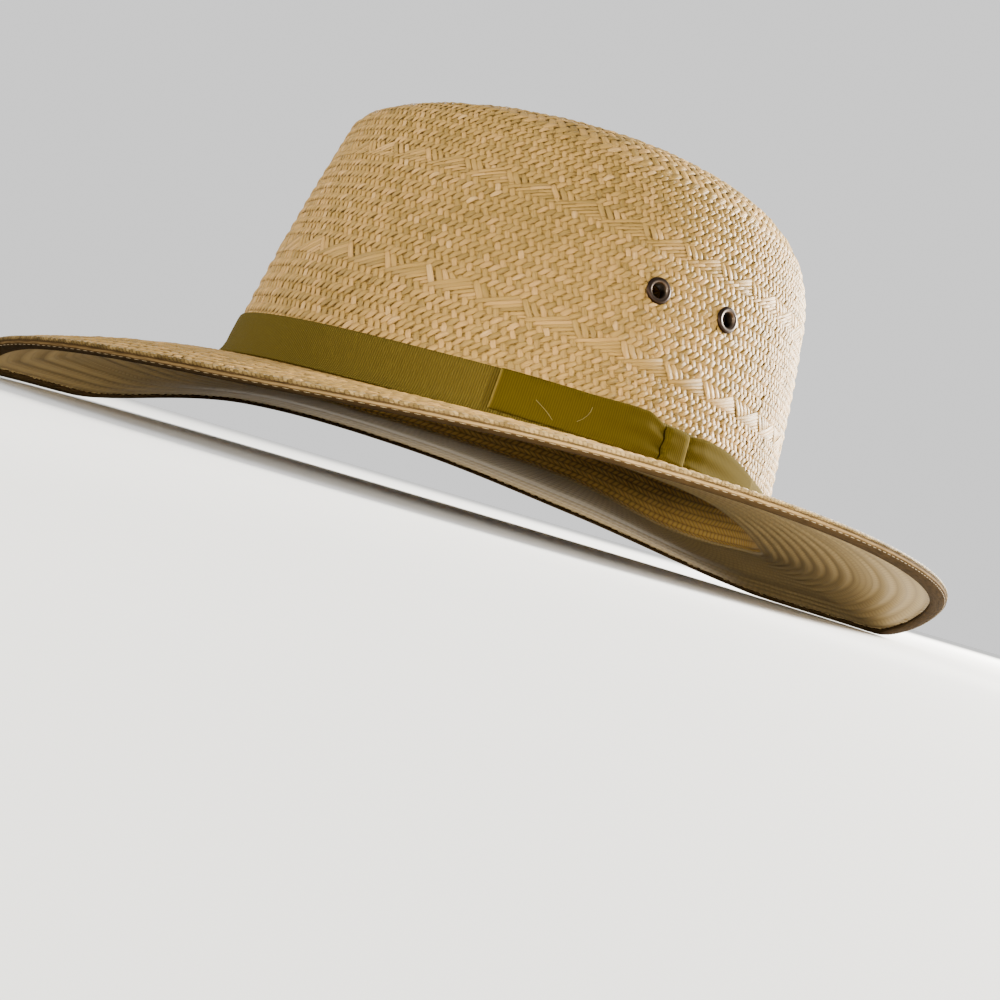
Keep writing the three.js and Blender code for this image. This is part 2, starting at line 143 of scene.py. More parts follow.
@dataclass(frozen=True)
class HatForm:
    """The straw's outer surface, the same as the CAD part's."""

    foot: tuple[float, float] = (84.0, 100.0)  # half width and half length
    shoulder: tuple[float, float] = (69.0, 85.0)
    shoulder_shift: float = 6.4  # how far back the top's middle lies
    crown_front: float = 91.2
    crown_side: float = 99.8
    crown_rear: float = 98.4
    bend_mean: float = 19.3  # reach of the crown's rounded corner
    bend_rear_gain: float = 15.4  # how much further it reaches at the rear than on the mean
    bend_least: float = 4.0
    dome: float = 3.7
    bulge: float = 1.3
    brim_front: float = 74.0
    brim_side: float = 75.0
    brim_rear: float = 61.0
    fall_power: float = 1.2  # over 1, the brim falls more steeply towards the rim
    lift_mean: float = 0.93  # how much the brim's middle stands over that fall
    lift_front: float = 0.83  # how much more it does so at the front
    root_bend: float = 6.0  # reach of the bend between crown and brim
    rim_heights: tuple[float, ...] = (-27.6, -15, -8.8, -2.9, -4, -12.8, -30, -25.8, -15, -6.2, -7.7, -25.2)
    root_heights: tuple[float, ...] = (0, 0, 0, 0.5, -2, -11, -12, -11, -2, 0.5, 0, 0)
    nod: float = 0.38  # degrees about X from the hat's frame to its rest
    settle: float = 3.0  # how far the rim's lowest stretches give
    softness: float = 0.6  # rounds the line between what bears on the floor and what doesn't
    rear_hang: float = 0.16  # how much higher the rim bears at the rear than on the mean
    crown_thick: float = 2.0
    slope_step: float = 0.01  # step over which directions are measured, in stations and in degrees

    def nodded(self, points: np.ndarray) -> np.ndarray:
        """Points of the hat's frame, turned to the hat's rest.

        Args:
            points: Points in millimetres.

        Returns:
            The turned points.
        """
        c, s = math.cos(math.radians(self.nod)), math.sin(math.radians(self.nod))
        x, y, z = points[..., 0], points[..., 1], points[..., 2]
        return np.stack([x, c * y - s * z, s * y + c * z], axis=-1)

    def shoulder_height(self, turns: np.ndarray) -> np.ndarray:
        """Height at which wall and top would meet.

        Args:
            turns: Turns.

        Returns:
            Heights.
        """
        c = np.cos(np.radians(turns))
        mean = (self.crown_front + self.crown_rear) / 2
        tilt = (self.crown_front - self.crown_rear) / 2
        return self.crown_side + tilt * c + (mean - self.crown_side) * c * c

    def wall(self, turns: np.ndarray, heights: np.ndarray) -> np.ndarray:
        """Points of the crown's wall.

        Args:
            turns: Turns.
            heights: Height of each point.

        Returns:
            Points.
        """
        share = (heights / self.shoulder_height(turns))[..., None]
        foot = oval(turns, *self.foot)
        shoulder = oval(turns, *self.shoulder, self.shoulder_shift)
        flat = foot * (1 - share) + shoulder * share + unit(foot) * self.bulge * 4 * share * (1 - share)
        return np.concatenate([flat, np.broadcast_to(heights, flat.shape[:-1])[..., None]], axis=-1)

    def top(self, turns: np.ndarray, reach: np.ndarray) -> np.ndarray:
        """Points of the crown's top.

        Args:
            turns: Turns.
            reach: 0 at its middle, 1 at its sharp corner.

        Returns:
            Points.
        """
        mean = (self.crown_side + (self.crown_front + self.crown_rear) / 2) / 2
        flat = oval(turns, *self.shoulder) * reach[..., None]
        square = reach * reach
        height = mean + (self.shoulder_height(turns) - mean) * square + self.dome * (1 - square)
        return np.stack([flat[..., 0], flat[..., 1] + self.shoulder_shift, height], axis=-1)

    def free_rim(self, turns: np.ndarray) -> np.ndarray:
        """The rim before it bears on the floor.

        Args:
            turns: Turns.

        Returns:
            Points.
        """
        half_length = self.foot[1] + (self.brim_front + self.brim_rear) / 2
        flat = oval(turns, self.foot[0] + self.brim_side, half_length, (self.brim_rear - self.brim_front) / 2)
        return np.concatenate([flat, closed_curve(self.rim_heights, turns)[..., None]], axis=-1)

    def rim(self, turns: np.ndarray) -> np.ndarray:
        """The rim as it rests.

        Args:
            turns: Turns.

        Returns:
            Points.
        """
        lowest = self.nodded(self.free_rim(even_turns(60)))[..., 2].min()
        point = self.free_rim(turns)
        bearing = lowest + self.settle - self.rear_hang * np.cos(np.radians(turns))
        above = self.nodded(point)[..., 2] - bearing
        point[..., 2] += (above + np.hypot(above, self.softness)) / 2 - above
        return point

    def brim(self, turns: np.ndarray, reach: np.ndarray) -> np.ndarray:
        """Points of the brim.

        Args:
            turns: Turns.
            reach: 0 at its root, 1 at the rim.

        Returns:
            Points.
        """
        turns, reach = np.broadcast_arrays(turns, reach)
        root = self.wall(turns, closed_curve(self.root_heights, turns))
        rim = self.rim(turns)
        curve = (self.lift_mean + self.lift_front * np.cos(np.radians(turns))) * 4 * reach * (1 - reach)
        point = root + (rim - root) * reach[..., None]
        point[..., 2] = root[..., 2] + (rim[..., 2] - root[..., 2]) * reach**self.fall_power + curve
        return point

    def ends(self, turns: np.ndarray) -> dict[str, np.ndarray]:
        """Where each stretch of the surface begins and ends.

        Args:
            turns: Turns.

        Returns:
            The top's reach, the wall's top and foot heights, and the reach where the brim's bend ends.
        """
        bend = np.maximum(self.bend_mean - self.bend_rear_gain * np.cos(np.radians(turns)), self.bend_least)
        corner = np.linalg.norm(oval(turns, *self.shoulder), axis=-1)
        nought = np.zeros_like(turns)
        width = np.linalg.norm(self.brim(turns, nought + 1) - self.brim(turns, nought), axis=-1)
        return {
            "top": 1 - bend / corner,
            "wall_top": self.shoulder_height(turns) - bend,
            "wall_foot": closed_curve(self.root_heights, turns) + self.root_bend,
            "brim": self.root_bend / width,
        }

    def surface(self, turns: np.ndarray, stations: np.ndarray) -> np.ndarray:
        """Points of the straw's outer surface.

        Args:
            turns: Turns.
            stations: Stations.

        Returns:
            Points.
        """
        turns, stations = np.broadcast_arrays(np.asarray(turns, float), np.asarray(stations, float))
        ends = self.ends(turns)
        nought = np.zeros_like(turns)
        share = np.clip(stations[..., None] - np.arange(5), 0, 1)

        def bend(start: np.ndarray, corner: np.ndarray, end: np.ndarray, u: np.ndarray) -> np.ndarray:
            """A rounding from start to end with its sharp corner given, at shares u."""
            u = u[..., None]
            return start * (1 - u) ** 2 + corner * 2 * u * (1 - u) + end * u**2

        shoulder_low = self.wall(turns, ends["wall_top"])
        wall_low = self.wall(turns, ends["wall_foot"])
        parts = [
            self.top(turns, share[..., 0] * ends["top"]),
            bend(self.top(turns, ends["top"]), self.top(turns, nought + 1), shoulder_low, share[..., 1]),
            self.wall(turns, ends["wall_top"] + (ends["wall_foot"] - ends["wall_top"]) * share[..., 2]),
            bend(wall_low, self.brim(turns, nought), self.brim(turns, ends["brim"]), share[..., 3]),
            self.brim(turns, ends["brim"] + (1 - ends["brim"]) * share[..., 4]),
        ]
        stretch = np.clip(np.ceil(stations).astype(int) - 1, 0, 4)
        return np.choose(stretch[..., None], parts)

    def station_above(self, turns: np.ndarray, rise: np.ndarray) -> np.ndarray:
        """Station of a height above the root.

        Args:
            turns: Turns.
            rise: Height above the brim's root.

        Returns:
            Stations.
        """
        ends = self.ends(turns)
        root = closed_curve(self.root_heights, turns)
        bend = 4 - np.sqrt(np.maximum(rise, 0) / self.root_bend)
        wall = 2 + (ends["wall_top"] - root - rise) / (ends["wall_top"] - ends["wall_foot"])
        return np.where(rise < self.root_bend, bend, wall)

    def normal(self, turns: np.ndarray, stations: np.ndarray) -> np.ndarray:
        """Outward directions of the surface.

        Args:
            turns: Turns.
            stations: Stations.

        Returns:
            Directions of length 1.
        """
        step = self.slope_step
        along = self.surface(turns, stations + step) - self.surface(turns, stations - step)
        across = self.surface(turns + step, stations) - self.surface(turns - step, stations)
        return unit(np.cross(along, across))

    def rimward(self, turns: np.ndarray, stations: np.ndarray) -> np.ndarray:
        """Directions of length 1 along the surface towards the rim."""
        return unit(self.surface(turns, stations) - self.surface(turns, stations - 2 * self.slope_step))

    def offset(self, turns: np.ndarray, stations: np.ndarray, lift: np.ndarray | float) -> np.ndarray:
        """Points off the surface.

        Args:
            turns: Turns.
            stations: Stations.
            lift: Distance from the surface, outward positive.

        Returns:
            Points.
        """
        turns, stations = np.broadcast_arrays(np.asarray(turns, float), np.asarray(stations, float))
        lift = np.broadcast_to(lift, turns.shape)[..., None]
        return self.surface(turns, stations) + self.normal(turns, stations) * lift


@dataclass
class Placement:
    """Takes the hat's frame to where the CAD part rests."""

    form: HatForm
    shift: np.ndarray = field(default_factory=lambda: np.zeros(3))

    def __post_init__(self) -> None:
        """Lays the rim over the CAD brim's box, and the crown's top at the top of the CAD crown's."""
        turns = even_turns(360)
        rim = self.form.nodded(self.form.surface(turns, np.full_like(turns, RIM_STATION)))
        low, high = (np.array(corner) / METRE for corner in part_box("brim"))
        shift = (low + high) / 2 - (rim.min(0) + rim.max(0)) / 2
        top_and_shoulder = np.linspace(0, 2, 41)
        crown = self.form.surface(turns[:, None], top_and_shoulder[None])
        shift[2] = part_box("crown")[1].z / METRE - self.form.nodded(crown)[..., 2].max()
        self.shift = shift

    def world(self, points: np.ndarray) -> np.ndarray:
        """Points of the hat's frame, in metres in the row frame."""
        return (self.form.nodded(points) + self.shift) * METRE


# ---- Meshes ------------------------------------------------------------------------------------------


@dataclass
class MeshData:
    """A mesh in the making: corners, quads and what the materials read."""

    points: np.ndarray  # in metres, in the row frame
    faces: np.ndarray
    uv: np.ndarray | None = None  # for each corner, in the material's own units
    values: dict[str, np.ndarray] = field(default_factory=dict)  # named numbers for each corner

    @staticmethod
    def joined(parts: list["MeshData"]) -> "MeshData":
        """Several meshes as one.

        Args:
            parts: Meshes with the same values.

        Returns:
            Their join.
        """
        starts = np.cumsum([0] + [len(part.points) for part in parts[:-1]])
        faces = np.concatenate([part.faces + start for part, start in zip(parts, starts)])
        return MeshData(
            np.concatenate([part.points for part in parts]),
            faces,
            np.concatenate([part.uv for part in parts]),
            {name: np.concatenate([part.values[name] for part in parts]) for name in parts[0].values},
        )

    def piece(self, name: str, material: bpy.types.Material, slot: str) -> bpy.types.Object:
        """Makes the Blender object, dressed and riding on the hat.

        Args:
            name: The piece's name.
            material: Its material.
            slot: Not used.

        Returns:
            The object.
        """
        mesh = bpy.data.meshes.new(name)
        mesh.vertices.add(len(self.points))
        mesh.vertices.foreach_set("co", self.points.astype(np.float32).ravel())
        corners = self.faces.shape[1]
        mesh.loops.add(self.faces.size)
        mesh.loops.foreach_set("vertex_index", self.faces.astype(np.int32).ravel())
        mesh.polygons.add(len(self.faces))
        mesh.polygons.foreach_set("loop_start", np.arange(0, self.faces.size, corners, dtype=np.int32))
        mesh.polygons.foreach_set("use_smooth", np.ones(len(self.faces), bool))
        if self.uv is not None:
            layer = mesh.uv_layers.new(name="strand")
            layer.data.foreach_set("uv", self.uv[self.faces.ravel()].astype(np.float32).ravel())
        for key, value in self.values.items():
            layer = mesh.attributes.new(key, "FLOAT", "POINT")
            layer.data.foreach_set("value", value.astype(np.float32))
        mesh.update(calc_edges=True)
        mesh.validate()
        mesh.materials.append(material)
        obj = bpy.data.objects.new(name, mesh)
        bpy.context.scene.collection.objects.link(obj)
        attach(obj, "root")
        LOG.info("%s: %d faces", name, len(mesh.polygons))
        return obj


def grid_faces(rows: int, columns: int, closed_rows: bool, closed_columns: bool) -> np.ndarray:
    """Quads of a grid of corners stored row by row.

    Args:
        rows: Number of rows of corners.
        columns: Number of corners in a row.
        closed_rows: Whether the last row joins the first.
        closed_columns: Whether each row is a ring.

    Returns:
        Quads, which face the same way as row step x column step.
    """
    row = np.arange(rows if closed_rows else rows - 1)[:, None]
    column = np.arange(columns if closed_columns else columns - 1)[None]
    after_row, after_column = (row + 1) % rows, (column + 1) % columns
    corners = [row * columns + column, after_row * columns + column]
    corners += [after_row * columns + after_column, row * columns + after_column]
    return np.stack(corners, axis=-1).reshape(-1, 4)


# ---- Weave -------------------------------------------------------------------------------------------


@dataclass(frozen=True)
class WeaveChart:
    """Which strand lies on top at each crossing, level by level up the hat.

    Plain levels are a two-over, two-under twill whose rows run round the hat. The levels of each fancy ring
    show rising triangles of right-leaning floats between falling triangles of left-leaning ones.
    """

    rings: tuple[int, ...] = (-74, -56, 0, 34)  # lowest level of each fancy ring, up the hat
    height: int = 6  # levels in a fancy ring
    twill: int = 4  # levels after which the twill repeats
    rib_crest: float = 2.5  # where in the repeat the middle of a row of right-leaning floats lies
    ridge: float = 0.19  # how much rows of right-leaning floats stand out, in millimetres
    ring_share: float = 0.85  # height of a fancy ring's level over a usual one
    right_row_step: float = 0.45  # strands that a right-leaning strand goes round in a level of its own row
    left_row_step: float = 0.83  # the same under a left-leaning row
    ring_step: float = 0.76  # the same in a fancy ring
    reach: int = 120  # levels charted above and below

    def right_on_top(self, level: np.ndarray, strand: np.ndarray) -> np.ndarray:
        """Whether the right-leaning strand lies on top.

        Args:
            level: Levels, the lowest first.
            strand: Numbers of the right-leaning strands.

        Returns:
            A truth value for each crossing.
        """
        over = self.twill // 2
        level, strand = np.broadcast_arrays(level, strand)
        result = (level - (self.rings[-1] + self.height)) % self.twill < over
        for ring in reversed(self.rings):
            result = np.where(level < ring, (ring - 1 - level) % self.twill >= over, result)
            inside = (level >= ring) & (level < ring + self.height)
            result = np.where(inside, strand % self.height + (level - ring) < self.height, result)
        return result

    def rib_height(self, level: np.ndarray) -> np.ndarray:
        """Height of the ribs that run round the hat, one for each row of right-leaning floats.

        Args:
            level: Levels, whole or not.

        Returns:
            Heights in millimetres, nought in a fancy ring.
        """
        flat = self.rib_crest - self.twill / 4
        place = level - (self.rings[-1] + self.height) + self.twill / 2
        for ring in reversed(self.rings):
            place = np.where(level < ring, ring - 1 - level, place)
            place = np.where((level >= ring) & (level <= ring + self.height - 1), flat, place)
        return self.ridge * np.cos(2 * math.pi * (place - self.rib_crest) / self.twill)

    def sideways(self, level: np.ndarray, lean: Lean) -> np.ndarray:
        """How far round the hat a strand has gone at a level: it goes in zigzags, row by row.

        Args:
            level: Levels, whole or not.
            lean: The strand's family.

        Returns:
            Distances from where it started, in strands.
        """
        whole = np.arange(-self.reach, self.reach + 1)
        right_row = self.right_on_top(whole, np.zeros_like(whole))
        step = np.where(right_row, self.right_row_step, self.left_row_step)
        for ring in self.rings:
            step = np.where((whole >= ring) & (whole < ring + self.height), self.ring_step, step)
        gone = np.concatenate([[0.0], np.cumsum(step)])
        gone = np.interp(level, np.arange(-self.reach, self.reach + 2) - 0.5, gone)
        return gone if lean is Lean.RIGHT else gone - level

    def even_level(self, level: np.ndarray) -> np.ndarray:
        """Where a level would lie if all levels had one height: those of the fancy rings are lower.

        Args:
            level: Levels, whole or not.

        Returns:
            Places on an even scale of levels.
        """
        half = self.height / 2
        middles = np.array(self.rings) + half - 0.5
        ends = np.array([-self.reach, self.reach])
        usual, squeezed = (
            np.sort(np.concatenate([middles - extent, middles + extent, ends]))
            for extent in (half, half * self.ring_share)
        )
        return np.interp(level, usual, squeezed)


@dataclass
class StrawSurface:
    """The outer surface as a table of points by turn and depth, so that one weave crosses it everywhere."""

    form: HatForm
    place: Placement
    columns: int = 456  # two for each strand round the crown
    upper_ring: tuple[float, float] = (69.0, 7.5)  # mean height and forward tilt of the crown's upper ring
    lower_ring: tuple[float, float] = (32.6, 9.3)  # the same for the lower one
    depths: np.ndarray = field(default_factory=lambda: np.linspace(0, RIM_DEPTH, 801))
    samples: tuple[int, ...] = (60, 40, 90, 20, 90)  # along the top, shoulder, wall, root and brim
    wall_samples: tuple[int, int] = (110, 220)  # those among which the rings lie, counted up from the rim
    middle_station: float = 1e-3  # just off the crown's middle, where all turns meet
    root_station: float = 3.5  # the middle of the bend between crown and brim

    def __post_init__(self) -> None:
        """Lays the depths along the surface at each turn, and measures its girth and slope at each depth."""
        turns = even_turns(self.columns)
        stretches = [np.linspace(k, k + 1, count, endpoint=False) for k, count in enumerate(self.samples)]
        stations = np.concatenate([*stretches, [RIM_STATION]])
        stations[0] = self.middle_station
        wall = slice(*self.wall_samples)
        dense = self.form.surface(turns[:, None], stations[None])
        steps = np.linalg.norm(np.diff(dense, axis=1), axis=-1)
        arcs = np.concatenate([np.zeros((self.columns, 1)), np.cumsum(steps, axis=1)], axis=1)
        c = np.cos(np.radians(turns))
        table = np.zeros((self.columns, len(self.depths), 3))
        for k in range(self.columns):
            heights, arcs_up = dense[k, ::-1, 2][wall], arcs[k, ::-1][wall]
            ring_arcs = [
                np.interp(mean + tilt * c[k], heights, arcs_up)
                for mean, tilt in (self.upper_ring, self.lower_ring)
            ]
            root = np.interp(self.root_station, stations, arcs[k])
            arc = np.interp(self.depths, range(5), [0, *ring_arcs, root, arcs[k][-1]])
            for axis in range(3):
                table[k, :, axis] = np.interp(arc, arcs[k], dense[k, :, axis])
        self.table = self.place.world(table) / METRE
        self.girth = np.linalg.norm(self.table - np.roll(self.table, -1, axis=0), axis=-1).sum(0)
        self.slope = np.linalg.norm(np.gradient(self.table, self.depths, axis=1), axis=-1).mean(0)

    def level_density(self, strands: int, stretch: float) -> np.ndarray:
        """Levels to a unit of depth, for each of the depths."""
        return self.slope * 2 * strands / (stretch * self.girth)


@dataclass
class Zone:
    """A stretch of the surface with one number of strands."""

    surface: StrawSurface
    chart: WeaveChart
    strands: int  # of each family, round the hat
    depth_range: tuple[float, float]
    stretch: float  # height of a level over half the distance between strands
    base_depth: float  # where the base level lies
    base_level: float
    samples: int = 2  # table rows for each level
    margin: int = 2  # levels tabled beyond each end

    def __post_init__(self) -> None:
        """Lays the levels along the depths, and tabulates the surface level by level."""
        depths = self.surface.depths
        density = self.surface.level_density(self.strands, self.stretch)
        steps = (density[1:] + density[:-1]) / 2 * np.diff(depths)
        climbed = np.concatenate([[0], np.cumsum(steps)])
        level = self.base_level - (climbed - np.interp(self.base_depth, depths, climbed))
        charted = np.arange(-self.chart.reach, self.chart.reach, 0.5)
        top, bottom = np.interp(self.depth_range, depths, level)
        self.top = math.floor(np.interp(top, self.chart.even_level(charted), charted))
        self.bottom = math.ceil(np.interp(bottom, self.chart.even_level(charted), charted))
        low, high = self.bottom - self.margin, self.top + self.margin
        rows = np.arange(low * self.samples, high * self.samples + 1) / self.samples
        depth = np.interp(self.chart.even_level(rows), level[::-1], depths[::-1])
        self.row_start = rows[0]
        self.row_depths = depth
        place = np.interp(depth, depths, np.arange(len(depths)))
        index = np.minimum(place.astype(int), len(depths) - 2)
        share = (place - index)[None, :, None]
        table = self.surface.table
        self.points = table[:, index] * (1 - share) + table[:, index + 1] * share
        along = np.gradient(self.points, axis=1) * self.samples
        around = np.roll(self.points, -1, axis=0) - np.roll(self.points, 1, axis=0)
        self.around = around * (self.surface.columns / self.strands / 2)
        self.normals = unit(np.cross(around, along))

    def depth_at(self, level: float) -> float:
        """The depth of a level."""
        row = (level - self.row_start) * self.samples
        return float(np.interp(row, np.arange(len(self.row_depths)), self.row_depths))

    def level_at(self, depth: float) -> float:
        """The level at a depth."""
        rows = np.arange(len(self.row_depths))[::-1]
        return self.row_start + float(np.interp(depth, self.row_depths[::-1], rows)) / self.samples

    def sample(self, phase: np.ndarray, level: np.ndarray) -> tuple[np.ndarray, ...]:
        """The surface at places of the weave.

        Args:
            phase: Position round the hat, in strands.
            level: Levels.

        Returns:
            Points, outward directions, and steps of one strand round the hat.
        """
        columns = self.surface.columns
        x = (phase * columns / self.strands) % columns
        last = self.points.shape[1] - 1.001  # just before the last row
        y = np.clip((level - self.row_start) * self.samples, 0, last)
        x0, y0 = np.floor(x).astype(int) % columns, np.floor(y).astype(int)
        u, v = (x - np.floor(x))[..., None], (y - y0)[..., None]
        x1 = (x0 + 1) % columns

        def mix(table: np.ndarray) -> np.ndarray:
            """Reads a table between its entries.

            Args:
                table: The table, by turn and row.

            Returns:
                Its values.
            """
            low = table[x0, y0] * (1 - u) + table[x1, y0] * u
            high = table[x0, y0 + 1] * (1 - u) + table[x1, y0 + 1] * u
            return low * (1 - v) + high * v

        return mix(self.points), unit(mix(self.normals)), mix(self.around)

    def grid(self, levels: np.ndarray) -> tuple[np.ndarray, np.ndarray]:
        """Points and outward directions at every strand, a row for each level."""
        phase, level = np.meshgrid(np.arange(self.strands).astype(float), levels)
        return self.sample(phase, level)[:2]

    def grid_uv(self, levels: np.ndarray) -> np.ndarray:
        """The strand and the level of each corner of a grid, for the straw's material."""
        strands = np.arange(self.strands).astype(float)
        return np.stack([np.tile(strands, len(levels)), np.repeat(levels, self.strands)], axis=-1)


@dataclass(frozen=True)
class FloatShape:
    """The shape of a strand's visible stretch, which rises from under its neighbours and dives again.

    Lifts are from the middle of the weave, in millimetres for a strand of the crown's width.
    """

    ends: float  # levels beyond the first and last crossing where it ends, under its neighbours
    shoulder: float = 0.42  # levels beyond them where it has risen
    end_lift: float = -0.4
    crest: float = 0.3
    sag: float = 0.07  # how much lower the float is over its end crossings
    across: tuple[float, ...] = (-0.5, -0.3, 0.3, 0.5)
    droop: float = 0.2  # how far the edges lie below the strand's middle
    fill: float = 0.97  # the strand's width over the distance between strands
    waist: float = 0.8  # the width where it dives, over the full width


WIDE_STRAND = FloatShape(
    ends=0.95, shoulder=0.28, end_lift=-0.22, crest=0.32, sag=0.04, fill=0.95, waist=0.62
)
NARROW_STRAND = FloatShape(ends=0.85, shoulder=0.26, fill=0.82, waist=0.66)
TOP_STRAND = FloatShape(ends=1.1, shoulder=0.4, end_lift=-0.25, waist=0.85)


@dataclass
class Plait:
    """Turns a zone and the weave chart into floats."""

    zone: Zone
    chart: WeaveChart
    shapes: dict[Lean, FloatShape]
    seed: int
    holes: np.ndarray
    hole_axes: np.ndarray
    hole_radius: float = 3.1  # how far straw is pushed out from an eyelet's middle
    lost_radius: float = 2.2  # what lies nearer than this is cut away
    shortest: float = 0.15  # steps shorter than this lie at the rim's end, in millimetres
    long_spread: float = 0.06  # how much wider a float grows with each level over two
    long_rise: float = 0.04  # how much higher it stands with each
    own_tone: float = 0.4  # share of a float's tone that isn't its strand's
    crest_play: float = 0.07  # how much floats differ in height
    place_play: float = 0.06  # how much they lie off their strand's line, in strands, and end off, in levels
    line_play: float = 0.04  # how much they waver along it, in strands
    width_play: tuple[float, float] = (0.88, 1.03)
    usual_width: float = 1.33  # of a strand on the crown, for which the lifts are given
    lift_scale: tuple[float, float] = (0.75, 1.3)  # least and greatest scale of the lifts
    fibre_steps: tuple[float, float] = (2.9, 3.7)  # how far fibres move on with each level and each strand

    def floats(self, lean: Lean, side: Side, low: int, high: int, lift: float) -> MeshData:
        """Floats of one family on one face between two levels.

        Args:
            lean: The family.
            side: The face.
            low: Lowest level.
            high: Highest level.
            lift: Height of the weave's middle over the outer surface.

        Returns:
            Their mesh.
        """
        levels = np.arange(low, high + 1)[:, None]
        strands = np.arange(self.zone.strands)[None]
        owner = strands if lean is Lean.RIGHT else (strands - levels) % self.zone.strands
        shown = self.chart.right_on_top(levels, owner) == (lean is Lean.RIGHT)
        if side is Side.UNDER:
            shown = ~shown
        padded = np.pad(shown, ((1, 1), (0, 0)))
        ring_edges = [ring + step for ring in self.chart.rings for step in (0, self.chart.height)]
        edges = np.isin(np.arange(low, high + 2), ring_edges)
        starts = shown & (~padded[:-2] | edges[:-1, None])
        ends = shown & (~padded[2:] | edges[1:, None])
        strand, first = np.nonzero(starts.T)
        last = np.nonzero(ends.T)[1]
        return self.strips(lean, side, strand, first + low, last + low, lift)

    def strips(
        self, lean: Lean, side: Side, strand: np.ndarray, first: np.ndarray, last: np.ndarray, lift: float
    ) -> MeshData:
        """The mesh of given floats.

        Args:
            lean: The family.
            side: The face.
            strand: Number of each float's strand.
            first: Lowest crossing of each.
            last: Highest crossing of each.
            lift: Height of the weave's middle over the outer surface.

        Returns:
            Their mesh.
        """
        shape, count = self.shapes[lean], len(strand)
        rng = np.random.default_rng(self.seed + 10 * lean.value + side.value)
        strand_tone = rng.random(self.zone.strands)[strand]
        tone = (1 - self.own_tone) * strand_tone + self.own_tone * rng.random(count)
        play = rng.uniform(-self.crest_play, self.crest_play, count)
        crest = shape.crest + play + self.long_rise * np.minimum(last - first - 1, 3)
        sway = rng.normal(0, self.place_play, (count, 1)) + rng.normal(0, self.line_play, (count, 5))
        reach = np.array([-shape.ends, -shape.shoulder, shape.shoulder, shape.ends])[:, None]
        reach = reach + rng.normal(0, self.place_play, (4, count))
        mid = (first + last) / 2
        level = np.stack([first + reach[0], first + reach[1], mid, last + reach[2], last + reach[3]], axis=-1)
        phase = strand[:, None] + self.chart.sideways(level, lean) + sway
        point, normal, around = self.zone.sample(phase, level)
        along = np.gradient(point, axis=1)
        whole = np.broadcast_to((point[:, -1] - point[:, 0])[:, None], along.shape)
        squashed = np.linalg.norm(along, axis=-1, keepdims=True) < self.shortest
        along = np.where(squashed, whole, along)
        across = unit(np.cross(normal, along)) * -lean.value
        pitch = np.abs((around * across).sum(-1))
        waist = np.array([shape.waist, 1, 1, 1, shape.waist])
        spread = 1 + self.long_spread * np.minimum(last - first - 1, 4)[:, None]
        width = pitch * shape.fill * rng.uniform(*self.width_play, (count, 1)) * waist * spread
        scale = np.clip(width / self.usual_width, *self.lift_scale)
        end = np.full(count, shape.end_lift)
        height = np.stack([end, crest - shape.sag, crest, crest - shape.sag, end], axis=-1) * scale
        height = height + side.value * self.chart.rib_height(level)
        offsets = width[..., None] * np.array(shape.across)
        edge = np.array([1.0, 0.0, 0.0, 1.0])
        lifts = (height * side.value)[..., None] - side.value * shape.droop * scale[..., None] * edge + lift
        points = point[:, :, None] + across[:, :, None] * offsets[..., None]
        points = points + normal[:, :, None] * lifts[..., None]
        corners = offsets[0].size
        starts = np.arange(count) * corners
        faces = grid_faces(*offsets.shape[1:], False, False)[None] + starts[:, None, None]
        points, faces = self.clear_holes(points.reshape(-1, 3), faces.reshape(-1, 4))
        points = points * METRE
        if (side is Side.UNDER) != (lean is Lean.RIGHT):
            faces = faces[:, ::-1]
        level_step, strand_step = self.fibre_steps
        length = np.cumsum(np.linalg.norm(along, axis=-1), axis=1) + first[:, None] * level_step
        u = np.broadcast_to(length[..., None], offsets.shape)
        v = offsets + (strand * strand_step)[:, None, None]
        # Crest is 1 on a float's top and falls at its ends and edges, where the straw's material paints
        # shade.
        rise = np.array([0.0, 0.8, 1.0, 0.8, 0.0])[:, None] * np.array([0.35, 1.0, 1.0, 0.35])
        values = {"tone": np.repeat(tone, corners), "crest": np.broadcast_to(rise, offsets.shape).ravel()}
        return MeshData(points, faces, np.stack([u, v], axis=-1).reshape(-1, 2), values)

    def clear_holes(self, points: np.ndarray, faces: np.ndarray) -> tuple[np.ndarray, np.ndarray]:
        """Opens the eyelet holes.

        Args:
            points: Points in millimetres.
            faces: Faces between them.

        Returns:
            The points, pushed out of the holes, and the faces that cross no hole.
        """
        on_axis = 1e-3  # keeps a point on the axis from dividing by nought
        lost = np.zeros(len(points), bool)
        for centre, axis in zip(self.holes, self.hole_axes):
            near = np.nonzero(np.linalg.norm(points - centre, axis=-1) < 2 * self.hole_radius)[0]
            rel = points[near] - centre
            depth = rel @ axis
            radial = rel - depth[:, None] * axis
            distance = np.linalg.norm(radial, axis=-1)
            lost[near[distance < self.lost_radius]] = True
            share = np.maximum(self.hole_radius / np.maximum(distance, on_axis), 1.0)[:, None]
            points[near] = centre + depth[:, None] * axis + radial * share
        return points, faces[~lost[faces].any(1)]


# ---- Finishes ----------------------------------------------------------------------------------------


def linear(code: str) -> tuple[float, float, float, float]:
    """An sRGB hex colour in linear light.

    Args:
        code: Six hexadecimal digits after #.

    Returns:
        Red, green, blue and 1.
    """
    channels = [int(code[k : k + 2], 16) / 255 for k in (1, 3, 5)]
    light = [c / 12.92 if c <= 0.04045 else ((c + 0.055) / 1.055) ** 2.4 for c in channels]
    return (*light, 1.0)


